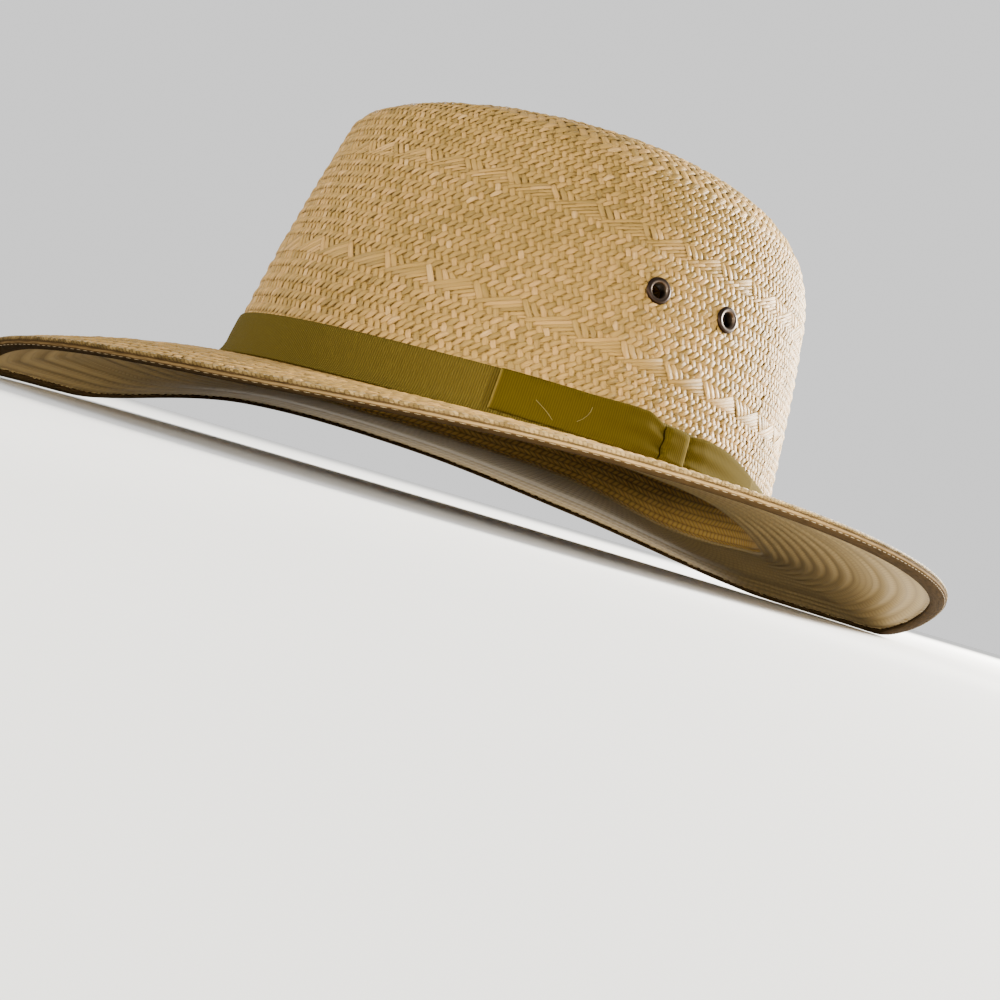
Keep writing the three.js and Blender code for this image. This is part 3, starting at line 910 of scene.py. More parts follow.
class Graph:
    """A material's node tree: one helper adds a node, and the rest build on it."""

    def __init__(self, name: str) -> None:
        """Starts an empty tree.

        Args:
            name: The material's name.
        """
        self.material = bpy.data.materials.new(name)
        self.material.use_nodes = True
        self.tree = self.material.node_tree
        self.tree.nodes.clear()

    def add(
        self, kind: str, inputs: Mapping[str | int, object] | None = None, **settings: object
    ) -> bpy.types.Node:
        """Adds a node.

        Args:
            kind: The node's type without ShaderNode.
            inputs: A value, or a socket to link, for each named or numbered input.
            settings: The node's own properties.

        Returns:
            The node.
        """
        node = self.tree.nodes.new("ShaderNode" + kind)
        for key, value in settings.items():
            setattr(node, key, value)
        for key, value in (inputs or {}).items():
            if isinstance(value, bpy.types.NodeSocket):
                self.tree.links.new(value, node.inputs[key])
            else:
                node.inputs[key].default_value = value
        return node

    def maths(self, operation: str, *values: object) -> bpy.types.NodeSocket:
        """Adds a maths node, and gives its output."""
        return self.add("Math", dict(enumerate(values)), operation=operation).outputs[0]

    def ramp(
        self, factor: bpy.types.NodeSocket, stops: tuple[tuple[float, str], ...]
    ) -> bpy.types.NodeSocket:
        """Adds a colour ramp.

        Args:
            factor: What it reads.
            stops: Positions and sRGB colours.

        Returns:
            Its colour.
        """
        node = self.add("ValToRGB", {"Fac": factor})
        elements = node.color_ramp.elements
        for _ in stops[2:]:
            elements.new(0.5)
        for element, (position, code) in zip(elements, stops):
            element.position = position
            element.color = linear(code)
        return node.outputs["Color"]

    def mix(self, factor: object, first: object, second: object) -> bpy.types.NodeSocket:
        """Mixes two colours, the factor being the share of the second."""
        return self.add("Mix", {0: factor, 6: first, 7: second}, data_type="RGBA").outputs[2]

    def value(self, name: str) -> bpy.types.NodeSocket:
        """Reads a named number of the mesh."""
        return self.add("Attribute", attribute_name=name).outputs["Fac"]

    def strand_place(self) -> bpy.types.NodeSocket:
        """Reads the place along and across a strand or a ribbon."""
        return self.add("UVMap", uv_map="strand").outputs["UV"]

    def fibres(self, along: float, across: float, detail: float) -> bpy.types.NodeSocket:
        """Adds fine streaks.

        Args:
            along: Streaks to a unit of the place along a strand.
            across: Streaks to a unit of the place across it.
            detail: How ragged they are.

        Returns:
            How strong a streak is, from 0 to 1.
        """
        inputs = {"Vector": self.strand_place(), "Scale": (along, across, 1.0)}
        fibre = self.add("Mapping", inputs).outputs["Vector"]
        inputs = {"Vector": fibre, "Scale": 1.0, "Detail": detail}
        return self.add("TexNoise", inputs, noise_dimensions="2D").outputs["Fac"]

    def clouds(self, per_metre: float, detail: float) -> bpy.types.NodeSocket:
        """Adds soft blotches, and gives how strong they are, from 0 to 1."""
        place = self.add("TexCoord").outputs["Object"]
        return self.add("TexNoise", {"Vector": place, "Scale": per_metre, "Detail": detail}).outputs["Fac"]

    def relief(self, height: bpy.types.NodeSocket, strength: float, depth: float) -> bpy.types.NodeSocket:
        """Adds relief too fine for the mesh, with the depth in millimetres of a height of 1."""
        inputs = {"Height": height, "Strength": strength, "Distance": depth * METRE}
        return self.add("Bump", inputs).outputs["Normal"]

    def finish(self, inputs: Mapping[str, object]) -> bpy.types.Material:
        """Adds the surface and the output.

        Args:
            inputs: Inputs of the Principled BSDF.

        Returns:
            The material.
        """
        surface = self.add("BsdfPrincipled", inputs)
        self.add("OutputMaterial", {"Surface": surface.outputs["BSDF"]})
        return self.material


@dataclass(frozen=True)
class PlaitedStraw:
    """Natural palm straw, split into flat strands and plaited: satin, streaked along each strand, with
    painted shade where a strand dives.
    """

    name: str = "Natural palm straw, split and hand plaited"
    tones: tuple[tuple[float, str], ...] = (
        (0.0, "#7c6126"),  # khaki strands from the leaf's edge
        (0.3, "#957535"),
        (0.6, "#a27e3b"),  # the usual golden straw
        (0.85, "#b08848"),
        (1.0, "#bd985c"),  # pale strands
    )
    painted_crevice_shade: str = "#4a3310"  # painted brown shade where a strand dives
    depth: float = 0.62  # how strong that painted shade is
    crevice_fall: float = 1.6  # over 1, the painted shade keeps to the strand's ends and edges
    streaks_per_mm: float = 3.0  # fibres across a strand, drawn about three times as coarse as they are
    streaks_along: float = 0.12  # the same along it, so a fibre shows for about 8 mm
    raggedness: float = 3.0  # detail in the fibres' outline
    streak_tone: float = 0.5  # how much a fibre changes the strand's tone
    fibre_relief: float = 0.7
    fibre_depth: float = 0.3  # millimetres
    roughness: float = 0.45
    fibre_roughness: float = 0.2  # how much rougher the pale fibres are
    gloss: float = 0.3

    def material(self) -> bpy.types.Material:
        """Builds the material.

        Returns:
            The material.
        """
        graph = Graph(self.name)
        streak = graph.fibres(self.streaks_along, self.streaks_per_mm, self.raggedness)
        tone = graph.maths("SUBTRACT", graph.value("tone"), self.streak_tone / 2)
        straw = graph.ramp(graph.maths("MULTIPLY_ADD", streak, self.streak_tone, tone), self.tones)
        # Painted shade: the straw is mixed towards the brown crevice colour where the crest value falls.
        dive = graph.maths("SUBTRACT", 1.0, graph.value("crest"))
        dark = graph.maths("MULTIPLY", graph.maths("POWER", dive, self.crevice_fall), self.depth)
        inputs = {
            "Base Color": graph.mix(dark, straw, linear(self.painted_crevice_shade)),
            "Roughness": graph.maths("MULTIPLY_ADD", streak, self.fibre_roughness, self.roughness),
            "Specular IOR Level": self.gloss,
            "Normal": graph.relief(streak, self.fibre_relief, self.fibre_depth),
        }
        return graph.finish(inputs)


# Strands that never see the sun: greyer, and alike in tone, with deeper painted shade where they dive.
UNDER_STRAND = PlaitedStraw(
    name="Natural palm straw, greyed strands under the brim",
    tones=((0.0, "#6f5c38"), (1.0, "#84704a")),
    painted_crevice_shade="#3c2c12",
    depth=0.8,
)


# A binding pressed flat along the rim: smooth, matt, darker and greyer than the plait.
HEM_STRAW = PlaitedStraw(
    name="Straw braid binding, pressed flat and stitched",
    tones=((0.0, "#1f1609"), (0.4, "#3d2d18"), (1.0, "#8a7048")),
    depth=0.0,
    streaks_per_mm=2.2,
    streaks_along=0.15,
    raggedness=4.0,
    fibre_relief=0.4,
    fibre_depth=0.2,
    roughness=0.9,
    fibre_roughness=0.0,
    gloss=0.02,
)


# Strands along the rim: darker and browner, which paints the rim's shade, with hardly a shine and deep
# painted shade where its strands twist under.
RIM_STRAND = PlaitedStraw(
    name="Natural palm straw, dulled by handling along the rim",
    tones=((0.0, "#33270f"), (0.5, "#64502b"), (1.0, "#967c4e")),
    painted_crevice_shade="#2a1d0a",
    depth=0.85,
    gloss=0.05,
)


@dataclass(frozen=True)
class StrawGround:
    """The plait's inner face, seen inside the crown and between strands: matt, a twill in fine relief, with
    painted shade in its grooves.

    Its relief reads the strand and the level from the mesh, so that it has the real size of the plait.
    """

    name: str = "Natural palm straw, shaded inner face of the plait"
    # The dark tone is painted shade, in the grooves between strands and rows.
    light: str = "#a8843f"
    dark: str = "#5c4319"
    step: float = 0.64  # strands that a right-leaning strand goes round in a level, on the mean
    twill: int = 4  # levels after which the twill repeats
    relief: float = 0.8
    relief_depth: float = 0.5  # millimetres
    hump: float = 0.5  # under 1, strands are flat on top
    blotches: float = 60.0  # to a metre, so each is about 17 mm wide
    blotch_shade: tuple[float, float] = (0.65, 1.25)  # share of the light tone, from dark to pale blotches
    pale: float = 0.9  # height of a strand from which it has its light tone
    roughness: float = 0.7
    gloss: float = 0.25

    def material(self) -> bpy.types.Material:
        """Builds the material.

        Returns:
            The material.
        """
        graph = Graph(self.name)
        place = graph.add("SeparateXYZ", {"Vector": graph.strand_place()})
        around, level = place.outputs["X"], place.outputs["Y"]
        in_repeat = graph.maths("FLOORED_MODULO", level, float(self.twill))
        lean = graph.maths("SUBTRACT", graph.maths("LESS_THAN", in_repeat, self.twill / 2), self.step)
        across = graph.maths("MULTIPLY_ADD", level, lean, around)
        strand = graph.maths("ABSOLUTE", graph.maths("SINE", graph.maths("MULTIPLY", across, math.pi)))
        row = graph.maths("ABSOLUTE", graph.maths("SINE", graph.maths("MULTIPLY", level, math.pi / 2)))
        height = graph.maths("POWER", graph.maths("MULTIPLY", strand, row), self.hump)
        least, most = self.blotch_shade
        blotch = graph.maths("MULTIPLY_ADD", graph.clouds(self.blotches, 4.0), most - least, least)
        shade = graph.maths("MULTIPLY", height, blotch)
        # Painted shade: the colour runs from the dark tone in the grooves to the light one on the strands.
        inputs = {
            "Base Color": graph.ramp(shade, ((0.0, self.dark), (self.pale, self.light))),
            "Roughness": self.roughness,
            "Specular IOR Level": self.gloss,
            "Normal": graph.relief(height, self.relief, self.relief_depth),
        }
        return graph.finish(inputs)


# The same plait pressed flat against the block: even in tone, its strands barely standing out, with only
# slight painted shade in its grooves.
UNDER_STRAW = StrawGround(
    name="Natural palm straw, pressed under the brim",
    light="#7f6b43",
    dark="#6a5735",
    relief=0.12,
)


@dataclass(frozen=True)
class Grosgrain:
    """Ribbed viscose ribbon: fine upright ribs that catch a soft sheen, with painted shade in the grooves
    between them and a painted highlight along a free end.
    """

    name: str = "Olive viscose grosgrain ribbon, woven with upright ribs"
    light: str = "#554718"
    dark: str = "#3b3210"
    # Painted highlight along a free end of the ribbon.
    end_highlight: str = "#6a5826"
    sheen: str = "#d8c060"  # colour of what little it reflects
    rib: float = 0.72  # millimetres between ribs
    threads_per_mm: float = 4.0  # warp threads across a rib's run, which roughen it
    threads_along: float = 0.4
    thread_tone: float = 0.4  # share of the tone that the threads give, the ribs' painted shade giving the rest
    thread_height: float = 0.3  # height of a thread over that of a rib
    tone_range: tuple[float, float] = (0.2, 0.8)  # from dark to light
    relief: float = 0.7
    relief_depth: float = 0.2  # millimetres
    roughness: float = 0.85
    gloss: float = 0.05

    def material(self) -> bpy.types.Material:
        """Builds the material.

        Returns:
            The material.
        """
        graph = Graph(self.name)
        place = graph.add("SeparateXYZ", {"Vector": graph.strand_place()})
        turn = graph.maths("MULTIPLY", place.outputs["X"], 2 * math.pi / self.rib)
        rib = graph.maths("MULTIPLY_ADD", graph.maths("SINE", turn), 0.5, 0.5)
        thread = graph.fibres(self.threads_per_mm, self.threads_along, 3.0)
        # Painted shade: the ribbon is darker in the grooves between its ribs.
        rib_painted_shade = graph.maths("MULTIPLY", rib, 1 - self.thread_tone)
        shade = graph.maths("MULTIPLY_ADD", thread, self.thread_tone, rib_painted_shade)
        ribbed = graph.ramp(shade, tuple(zip(self.tone_range, (self.dark, self.light))))
        height = graph.maths("MULTIPLY_ADD", thread, self.thread_height, rib)
        # The edge value mixes in a painted highlight at a free end.
        inputs = {
            "Base Color": graph.mix(graph.value("edge"), ribbed, linear(self.end_highlight)),
            "Roughness": self.roughness,
            "Specular IOR Level": self.gloss,
            "Specular Tint": linear(self.sheen),
            "Normal": graph.relief(height, self.relief, self.relief_depth),
        }
        return graph.finish(inputs)


# The same ribbon ironed flat in the bow: its ribs barely show, and it is the deepest green.
PRESSED_RIBBON = Grosgrain(
    name="Viscose ribbon, pressed smooth in the bow",
    relief=0.15,
    gloss=0.03,
    light="#443806",
    dark="#372d05",
)


@dataclass(frozen=True)
class StitchThread:
    """Twisted polyester sewing thread, pale against the hem, darker where its plies meet."""

    name: str = "Polyester sewing thread, twisted"
    colour: str = "#95815d"
    dark: str = "#776445"
    plies: float = 900.0  # to a metre, so each shows for about 1 mm
    roughness: float = 0.6

    def material(self) -> bpy.types.Material:
        """Builds the material.

        Returns:
            The material.
        """
        graph = Graph(self.name)
        colour = graph.mix(graph.clouds(self.plies, 2.0), linear(self.dark), linear(self.colour))
        return graph.finish({"Base Color": colour, "Roughness": self.roughness})


# A single thread of the ribbon, paler than the ribbon because it catches light on all sides.
FRAYED_THREAD = StitchThread(name="Rayon thread frayed from the ribbon", colour="#6a591d", dark="#574816")


@dataclass(frozen=True)
class AgedBrass:
    """Antiqued brass: dark in the hollows, worn bright on the roll."""

    name: str = "Brass, antiqued and rolled"
    worn: str = "#a08d7a"
    dark: str = "#2b211b"
    spots: float = 700.0  # spots of tarnish to a metre, so each is about 1.4 mm wide
    spot_wear: tuple[float, float] = (0.6, 1.4)  # share of the wear, from dark to bright spots
    relief: float = 0.15
    relief_depth: float = 0.1  # millimetres
    roughness: float = 0.38

    def material(self) -> bpy.types.Material:
        """Builds the material.

        Returns:
            The material.
        """
        graph = Graph(self.name)
        spot = graph.clouds(self.spots, 4.0)
        least, most = self.spot_wear
        wear = graph.maths(
            "MULTIPLY", graph.value("wear"), graph.maths("MULTIPLY_ADD", spot, most - least, least)
        )
        inputs = {
            "Base Color": graph.mix(wear, linear(self.dark), linear(self.worn)),
            "Metallic": 1.0,
            "Roughness": self.roughness,
            "Normal": graph.relief(spot, self.relief, self.relief_depth),
        }
        return graph.finish(inputs)


@dataclass(frozen=True)
class StudioBoard:
    """Matt painted board for the floor: pale and even, with no shine."""

    name: str = "Matt pale studio board"
    light: str = "#ededeb"
    dark: str = "#e9e9e7"
    blotches: float = 30.0  # to a metre, so each is about 33 mm wide
    roughness: float = 0.9

    def material(self) -> bpy.types.Material:
        """Builds the material.

        Returns:
            The material.
        """
        graph = Graph(self.name)
        colour = graph.mix(graph.clouds(self.blotches, 2.0), linear(self.dark), linear(self.light))
        return graph.finish({"Base Color": colour, "Roughness": self.roughness})


# ---- Sub-assemblies ----------------------------------------------------------------------------------


@dataclass(frozen=True)
class EyeletSpot:
    """Where an eyelet sits: its CAD node, its turn, and its height above the hat's own level."""

    node: str
    turn: float
    height: float


@dataclass
class Hat:
    """What every sub-assembly needs: the shape, where it rests, and the straw's chart."""

    form: HatForm
    place: Placement
    surface: StrawSurface
    chart: WeaveChart
    strands: int = 228  # of each family, round the crown
    side_depth: float = 0.77  # where the crown's side ends and its top begins
    turn_samples: int = 36  # turns at which a station's levels are looked up
    depth_samples: int = 201  # depths over which the spacing of the strands is averaged
    eyelets: tuple[EyeletSpot, ...] = (
        EyeletSpot("eyelet_left_front", 98.8, 52.8),
        EyeletSpot("eyelet_left_rear", 115.5, 52.5),
        EyeletSpot("eyelet_right_rear", 244.5, 52.5),
        EyeletSpot("eyelet_right_front", 261.2, 52.8),
    )

    def __post_init__(self) -> None:
        """Finds the eyelet holes, and lays the weave out from the crown's two fancy rings."""
        turns = np.array([spot.turn for spot in self.eyelets])
        heights = np.array([spot.height for spot in self.eyelets])
        ends = self.form.ends(turns)
        stations = 2 + (ends["wall_top"] - heights) / (ends["wall_top"] - ends["wall_foot"])
        points = self.form.surface(turns, stations)
        tips = points + self.form.normal(turns, stations)
        self.holes = self.place.world(points) / METRE
        self.hole_axes = self.place.world(tips) / METRE - self.holes
        surface, (*_, lower_ring, upper_ring) = self.surface, self.chart.rings
        density = surface.level_density(self.strands, 1.0)
        between = np.linspace(UPPER_RING_DEPTH, LOWER_RING_DEPTH, self.depth_samples)
        natural = float(np.interp(between, surface.depths, density).mean())
        self.stretch = natural / (upper_ring - lower_ring)
        middle = lower_ring + (self.chart.height - 1) / 2
        depths = (self.side_depth, RIM_DEPTH)
        self.side = Zone(surface, self.chart, self.strands, depths, self.stretch, LOWER_RING_DEPTH, middle)
        LOG.info("strands lean %.1f degrees", math.degrees(math.atan(self.stretch)))
        LOG.info("levels from %d to %d", self.side.bottom, self.side.top)

    def plait(self, zone: Zone, seed: int, right: FloatShape, left: FloatShape) -> Plait:
        """The plaiting of a zone, with the shapes of its right- and left-leaning floats."""
        return Plait(zone, self.chart, {Lean.RIGHT: right, Lean.LEFT: left}, seed, self.holes, self.hole_axes)

    def level_at(self, turn: float, station: float) -> float:
        """The side zone's level at a place.

        Args:
            turn: Turn in degrees.
            station: Station.

        Returns:
            The level.
        """
        point = self.place.world(self.form.surface(np.array([turn]), np.array([station])))[0] / METRE
        column = int(round(turn / FULL_TURN * self.surface.columns)) % self.surface.columns
        row = np.linalg.norm(self.side.points[column] - point, axis=-1).argmin()
        return self.side.row_start + row / self.side.samples

    def levels_round(self, station: float) -> list[float]:
        """The side zone's levels at a station, all round the hat."""
        return [self.level_at(turn, station) for turn in even_turns(self.turn_samples)]


@dataclass(frozen=True)
class TopZone:
    """A ring of the crown's top: strands are dropped inward, so that they keep their width."""

    strands: int
    inner: float  # depth of its inner edge


@dataclass
class Crown:
    """The crown: a pierced shell with its plait on it."""

    hat: Hat
    straw: bpy.types.Material
    ground: bpy.types.Material
    top_zones: tuple[TopZone, ...] = (
        TopZone(152, 0.61),
        TopZone(102, 0.40),
        TopZone(60, 0.24),
        TopZone(30, 0.115),
    )
    top_level: float = 100.5  # level given to the outer edge of each of them
    foot_station: float = 2.93  # where the strands begin, under the ribbon
    shell_foot: float = 2.99  # station of the shell's foot
    middle_level: int = 36  # where the strands are parted in two pieces
    ground_lift: float = -0.4
    shell_step: int = 2  # levels between rows of the shell
    cap_rings: int = 24  # rows of the shell across the crown's top
    cap_levels: float = 60.0  # levels over which the shell's relief goes on there
    seed: int = 11
    top_seed: int = 40

    def build(self) -> None:
        """Builds the shell and the floats."""
        shell = self.shell()
        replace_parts(shell, "crown")
        side, hat = self.hat.side, self.hat
        plait = hat.plait(side, self.seed, WIDE_STRAND, NARROW_STRAND)
        foot = math.floor(min(hat.levels_round(self.foot_station)))
        spans = {"lower": (foot, self.middle_level - 1), "upper": (self.middle_level, side.top)}
        for part, (low, high) in spans.items():
            for lean in Lean:
                data = plait.floats(lean, Side.OUTER, low, high, 0.0)
                data.piece(f"crown_{part}_strands_{lean.name.lower()}", self.straw, "straw")
        self.top()

    def top(self) -> None:
        """Builds the plait of the crown's top, which has fewer strands the nearer it is to the middle."""
        hat = self.hat
        parts = []
        outer = hat.side_depth
        for number, row in enumerate(self.top_zones):
            depths = (row.inner, outer)
            zone = Zone(hat.surface, hat.chart, row.strands, depths, hat.stretch, outer, self.top_level)
            plait = hat.plait(zone, self.top_seed + number, TOP_STRAND, TOP_STRAND)
            parts += [plait.floats(lean, Side.OUTER, zone.bottom - 1, zone.top + 1, 0.0) for lean in Lean]
            outer = row.inner
        MeshData.joined(parts).piece("crown_top_strands", self.straw, "straw")

    def shell(self) -> bpy.types.Object:
        """Builds the shell under the plait, with its eyelet holes.

        Returns:
            The piece.
        """
        hat, side = self.hat, self.hat.side
        foot = math.floor(min(hat.levels_round(self.shell_foot)))
        levels = np.arange(foot, side.top + 1, self.shell_step).astype(float)
        point, normal = side.grid(levels)
        shares = np.linspace(1, 0, self.cap_rings + 1)[1:]
        depths = np.searchsorted(hat.surface.depths, side.depth_at(levels[-1]) * shares)
        cap = hat.surface.table[:: hat.surface.columns // side.strands, depths].swapaxes(0, 1)
        outer, inner = (
            np.concatenate([point + normal * lift, cap + np.array([0, 0, lift])])
            for lift in (self.ground_lift, -hat.form.crown_thick)
        )
        levels = np.concatenate([levels, levels[-1] + (1 - shares) * self.cap_levels])
        points = np.concatenate([inner[::-1], outer])
        levels = np.concatenate([levels[::-1], levels])
        faces = grid_faces(len(points), side.strands, False, True)
        plait = hat.plait(side, self.seed, WIDE_STRAND, NARROW_STRAND)
        flat, faces = plait.clear_holes(points.reshape(-1, 3), faces)
        return MeshData(flat * METRE, faces, side.grid_uv(levels)).piece("crown_shell", self.ground, "straw")


def rim_painted_shade(turns: np.ndarray, most: float = 0.6) -> np.ndarray:
    """How much darker the rim is painted at each turn, most at the front and rear: painted shade."""
    return most * np.abs(np.cos(np.radians(turns)))


@dataclass(frozen=True)
class BrimZone:
    """A ring of the brim: strands are added outward, so that they keep their width."""

    strands: int
    inner: float  # depth of its inner edge
    outer: float
    ring: int  # which fancy ring, from the rim, its levels are counted from


@dataclass
class Brim:
    """The brim: a shell with its plait on top, a pressed under face and a rolled edge."""

    hat: Hat
    straw: bpy.types.Material
    under_straw: bpy.types.Material
    under_strand: bpy.types.Material
    rim_strand: bpy.types.Material
    ground: bpy.types.Material
    zones: tuple[BrimZone, ...] = (
        BrimZone(342, 3.74, RIM_DEPTH, 0),
        BrimZone(285, 3.42, 3.74, 1),
    )
    root_station: float = 3.75  # where the strands begin, under the ribbon
    seed: int = 23
    shell_root: float = 3.0  # station of the shell's inner edge
    shell_rows: int = 45
    ground_lift: float = -0.4
    under_lift: float = -1.6
    under_back: float = -1.1
    under_zone: BrimZone = BrimZone(285, 3.0, 3.95, 0)
    under_step: float = 0.5  # levels between rows of the under face
    under_relief: float = 1.3  # height of its ribs over those of the crown
    under_seed: int = 61
    ring_sink: float = 0.15  # how far the under face's ring lies into it
    edge_radius: float = 0.55
    edge_lift: float = -0.1
    edge_inset: float = 0.8
    edge_strands: int = 912  # strands that turn over the edge
    edge_columns: int = 3648
    edge_sides: int = 7
    edge_waist: float = 0.82  # least thickness of a strand there, over the full one
    edge_swell: float = 0.22  # how much it gains from there to its middle
    edge_tone: float = 0.6
    edge_seed: int = 5

    def build(self) -> None:
        """Builds the shell, the floats, the under face and the edge."""
        hat = self.hat
        shell = self.shell()
        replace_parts(shell, "brim")
        root = math.ceil(max(hat.levels_round(self.root_station)))
        inner = math.floor(hat.side.level_at(self.zones[-1].inner))
        outermost, middle = (self.zone(row) for row in self.zones)
        spans = [
            (hat.side, inner, root),
            (middle, middle.bottom, middle.top),
            (outermost, outermost.bottom + 2, outermost.top),  # its last two levels turn over the edge
        ]
        for lean in Lean:
            parts = []
            for number, (zone, low, high) in enumerate(spans):
                plait = hat.plait(zone, self.seed + number, WIDE_STRAND, NARROW_STRAND)
                parts.append(plait.floats(lean, Side.OUTER, low, high, 0.0))
            MeshData.joined(parts).piece(f"brim_upper_strands_{lean.name.lower()}", self.straw, "straw")
        self.under()
        self.edge()

    def zone(self, row: BrimZone) -> Zone:
        """A zone whose fancy ring lies where the side zone has it.

        Args:
            row: Its strands, depths and ring.

        Returns:
            The zone.
        """
        hat = self.hat
        middle = hat.chart.rings[row.ring] + (hat.chart.height - 1) / 2
        depths, anchor = (row.inner, row.outer), hat.side.depth_at(middle)
        return Zone(hat.surface, hat.chart, row.strands, depths, hat.stretch, anchor, middle)

    def under(self) -> None:
        """Builds the under face: ribs that run round, and the one fancy ring that shows."""
        hat = self.hat
        zone = self.zone(self.under_zone)
        levels = np.arange(zone.bottom, zone.top, self.under_step)
        point, normal = zone.grid(levels)
        relief = hat.chart.rib_height(levels)[:, None, None] * self.under_relief
        face, back = point + normal * (self.under_lift - relief), point + normal * self.under_back
        self.layer(zone, levels, back, face).piece("brim_under_face", self.under_straw, "straw")
        plait = hat.plait(zone, self.under_seed, WIDE_STRAND, NARROW_STRAND)
        low = hat.chart.rings[0]
        high = low + hat.chart.height - 1
        parts = [plait.floats(lean, Side.UNDER, low, high, self.under_lift + self.ring_sink) for lean in Lean]
        MeshData.joined(parts).piece("brim_under_ring_strands", self.under_strand, "straw")

    def layer(self, zone: Zone, levels: np.ndarray, upper: np.ndarray, lower: np.ndarray) -> MeshData:
        """A closed layer of straw between two faces.

        Args:
            zone: The zone that it lies in.
            levels: Level of each row of corners.
            upper: Its upper face's corners, row by row.
            lower: Its lower face's corners.

        Returns:
            Its mesh.
        """
        points = np.concatenate([upper, lower[::-1]])
        faces = grid_faces(len(points), zone.strands, True, True)
        uv = zone.grid_uv(np.concatenate([levels, levels[::-1]]))
        return MeshData(points.reshape(-1, 3) * METRE, faces, uv)

    def shell(self) -> bpy.types.Object:
        """Builds the shell between the two faces.

        Returns:
            The piece.
        """
        side = self.hat.side
        top = math.ceil(max(self.hat.levels_round(self.shell_root)))
        levels = np.linspace(side.bottom, top, self.shell_rows)
        point, normal = side.grid(levels)
        outer, under = point + normal * self.ground_lift, point + normal * self.under_back
        return self.layer(side, levels, outer, under).piece("brim_shell", self.ground, "straw")

    def edge(self) -> None:
        """Builds the rolled edge, over which the strands turn."""
        form, count = self.hat.form, self.edge_strands
        turns = even_turns(self.edge_columns)
        station = np.full(self.edge_columns, RIM_STATION - self.edge_inset / form.brim_side)
        angle = np.linspace(0, 2 * math.pi, self.edge_sides, endpoint=False)
        twist = np.abs(np.sin(np.radians(turns)[:, None] * count / 2 + angle / 2))
        radius = self.edge_radius * (self.edge_waist + self.edge_swell * twist)
        ring = directions_round(form.rimward(turns, station), form.normal(turns, station), angle)
        centre = form.offset(turns, station, self.edge_lift)
        points = self.hat.place.world(centre[:, None] + ring * radius[..., None])
        faces = grid_faces(self.edge_columns, self.edge_sides, True, True)[:, ::-1]
        strand = turns[:, None] * count / FULL_TURN + angle / (2 * math.pi)
        strand = np.floor(strand % count).astype(int) % count
        tones = np.random.default_rng(self.edge_seed).random(count)[strand]
        # Painted shade: the rim's strands are darker front and rear.
        tones = self.edge_tone + self.edge_tone * tones - rim_painted_shade(turns)[:, None]
        uv = np.stack([twist * 2, strand * Plait.fibre_steps[1] + angle], axis=-1)
        # Crest falls between the twists, where the rim straw's material paints shade.
        values = {"tone": tones.ravel(), "crest": (twist**0.5).ravel()}
        edge = MeshData(points.reshape(-1, 3), faces, uv.reshape(-1, 2), values)
        edge.piece("brim_edge", self.rim_strand, "straw")


@dataclass(frozen=True)
class HemRow:
    """One line of the hem's section: its distance from the rim, its lift and how pale it is."""

    inset: float
    lift: float
    tone: float


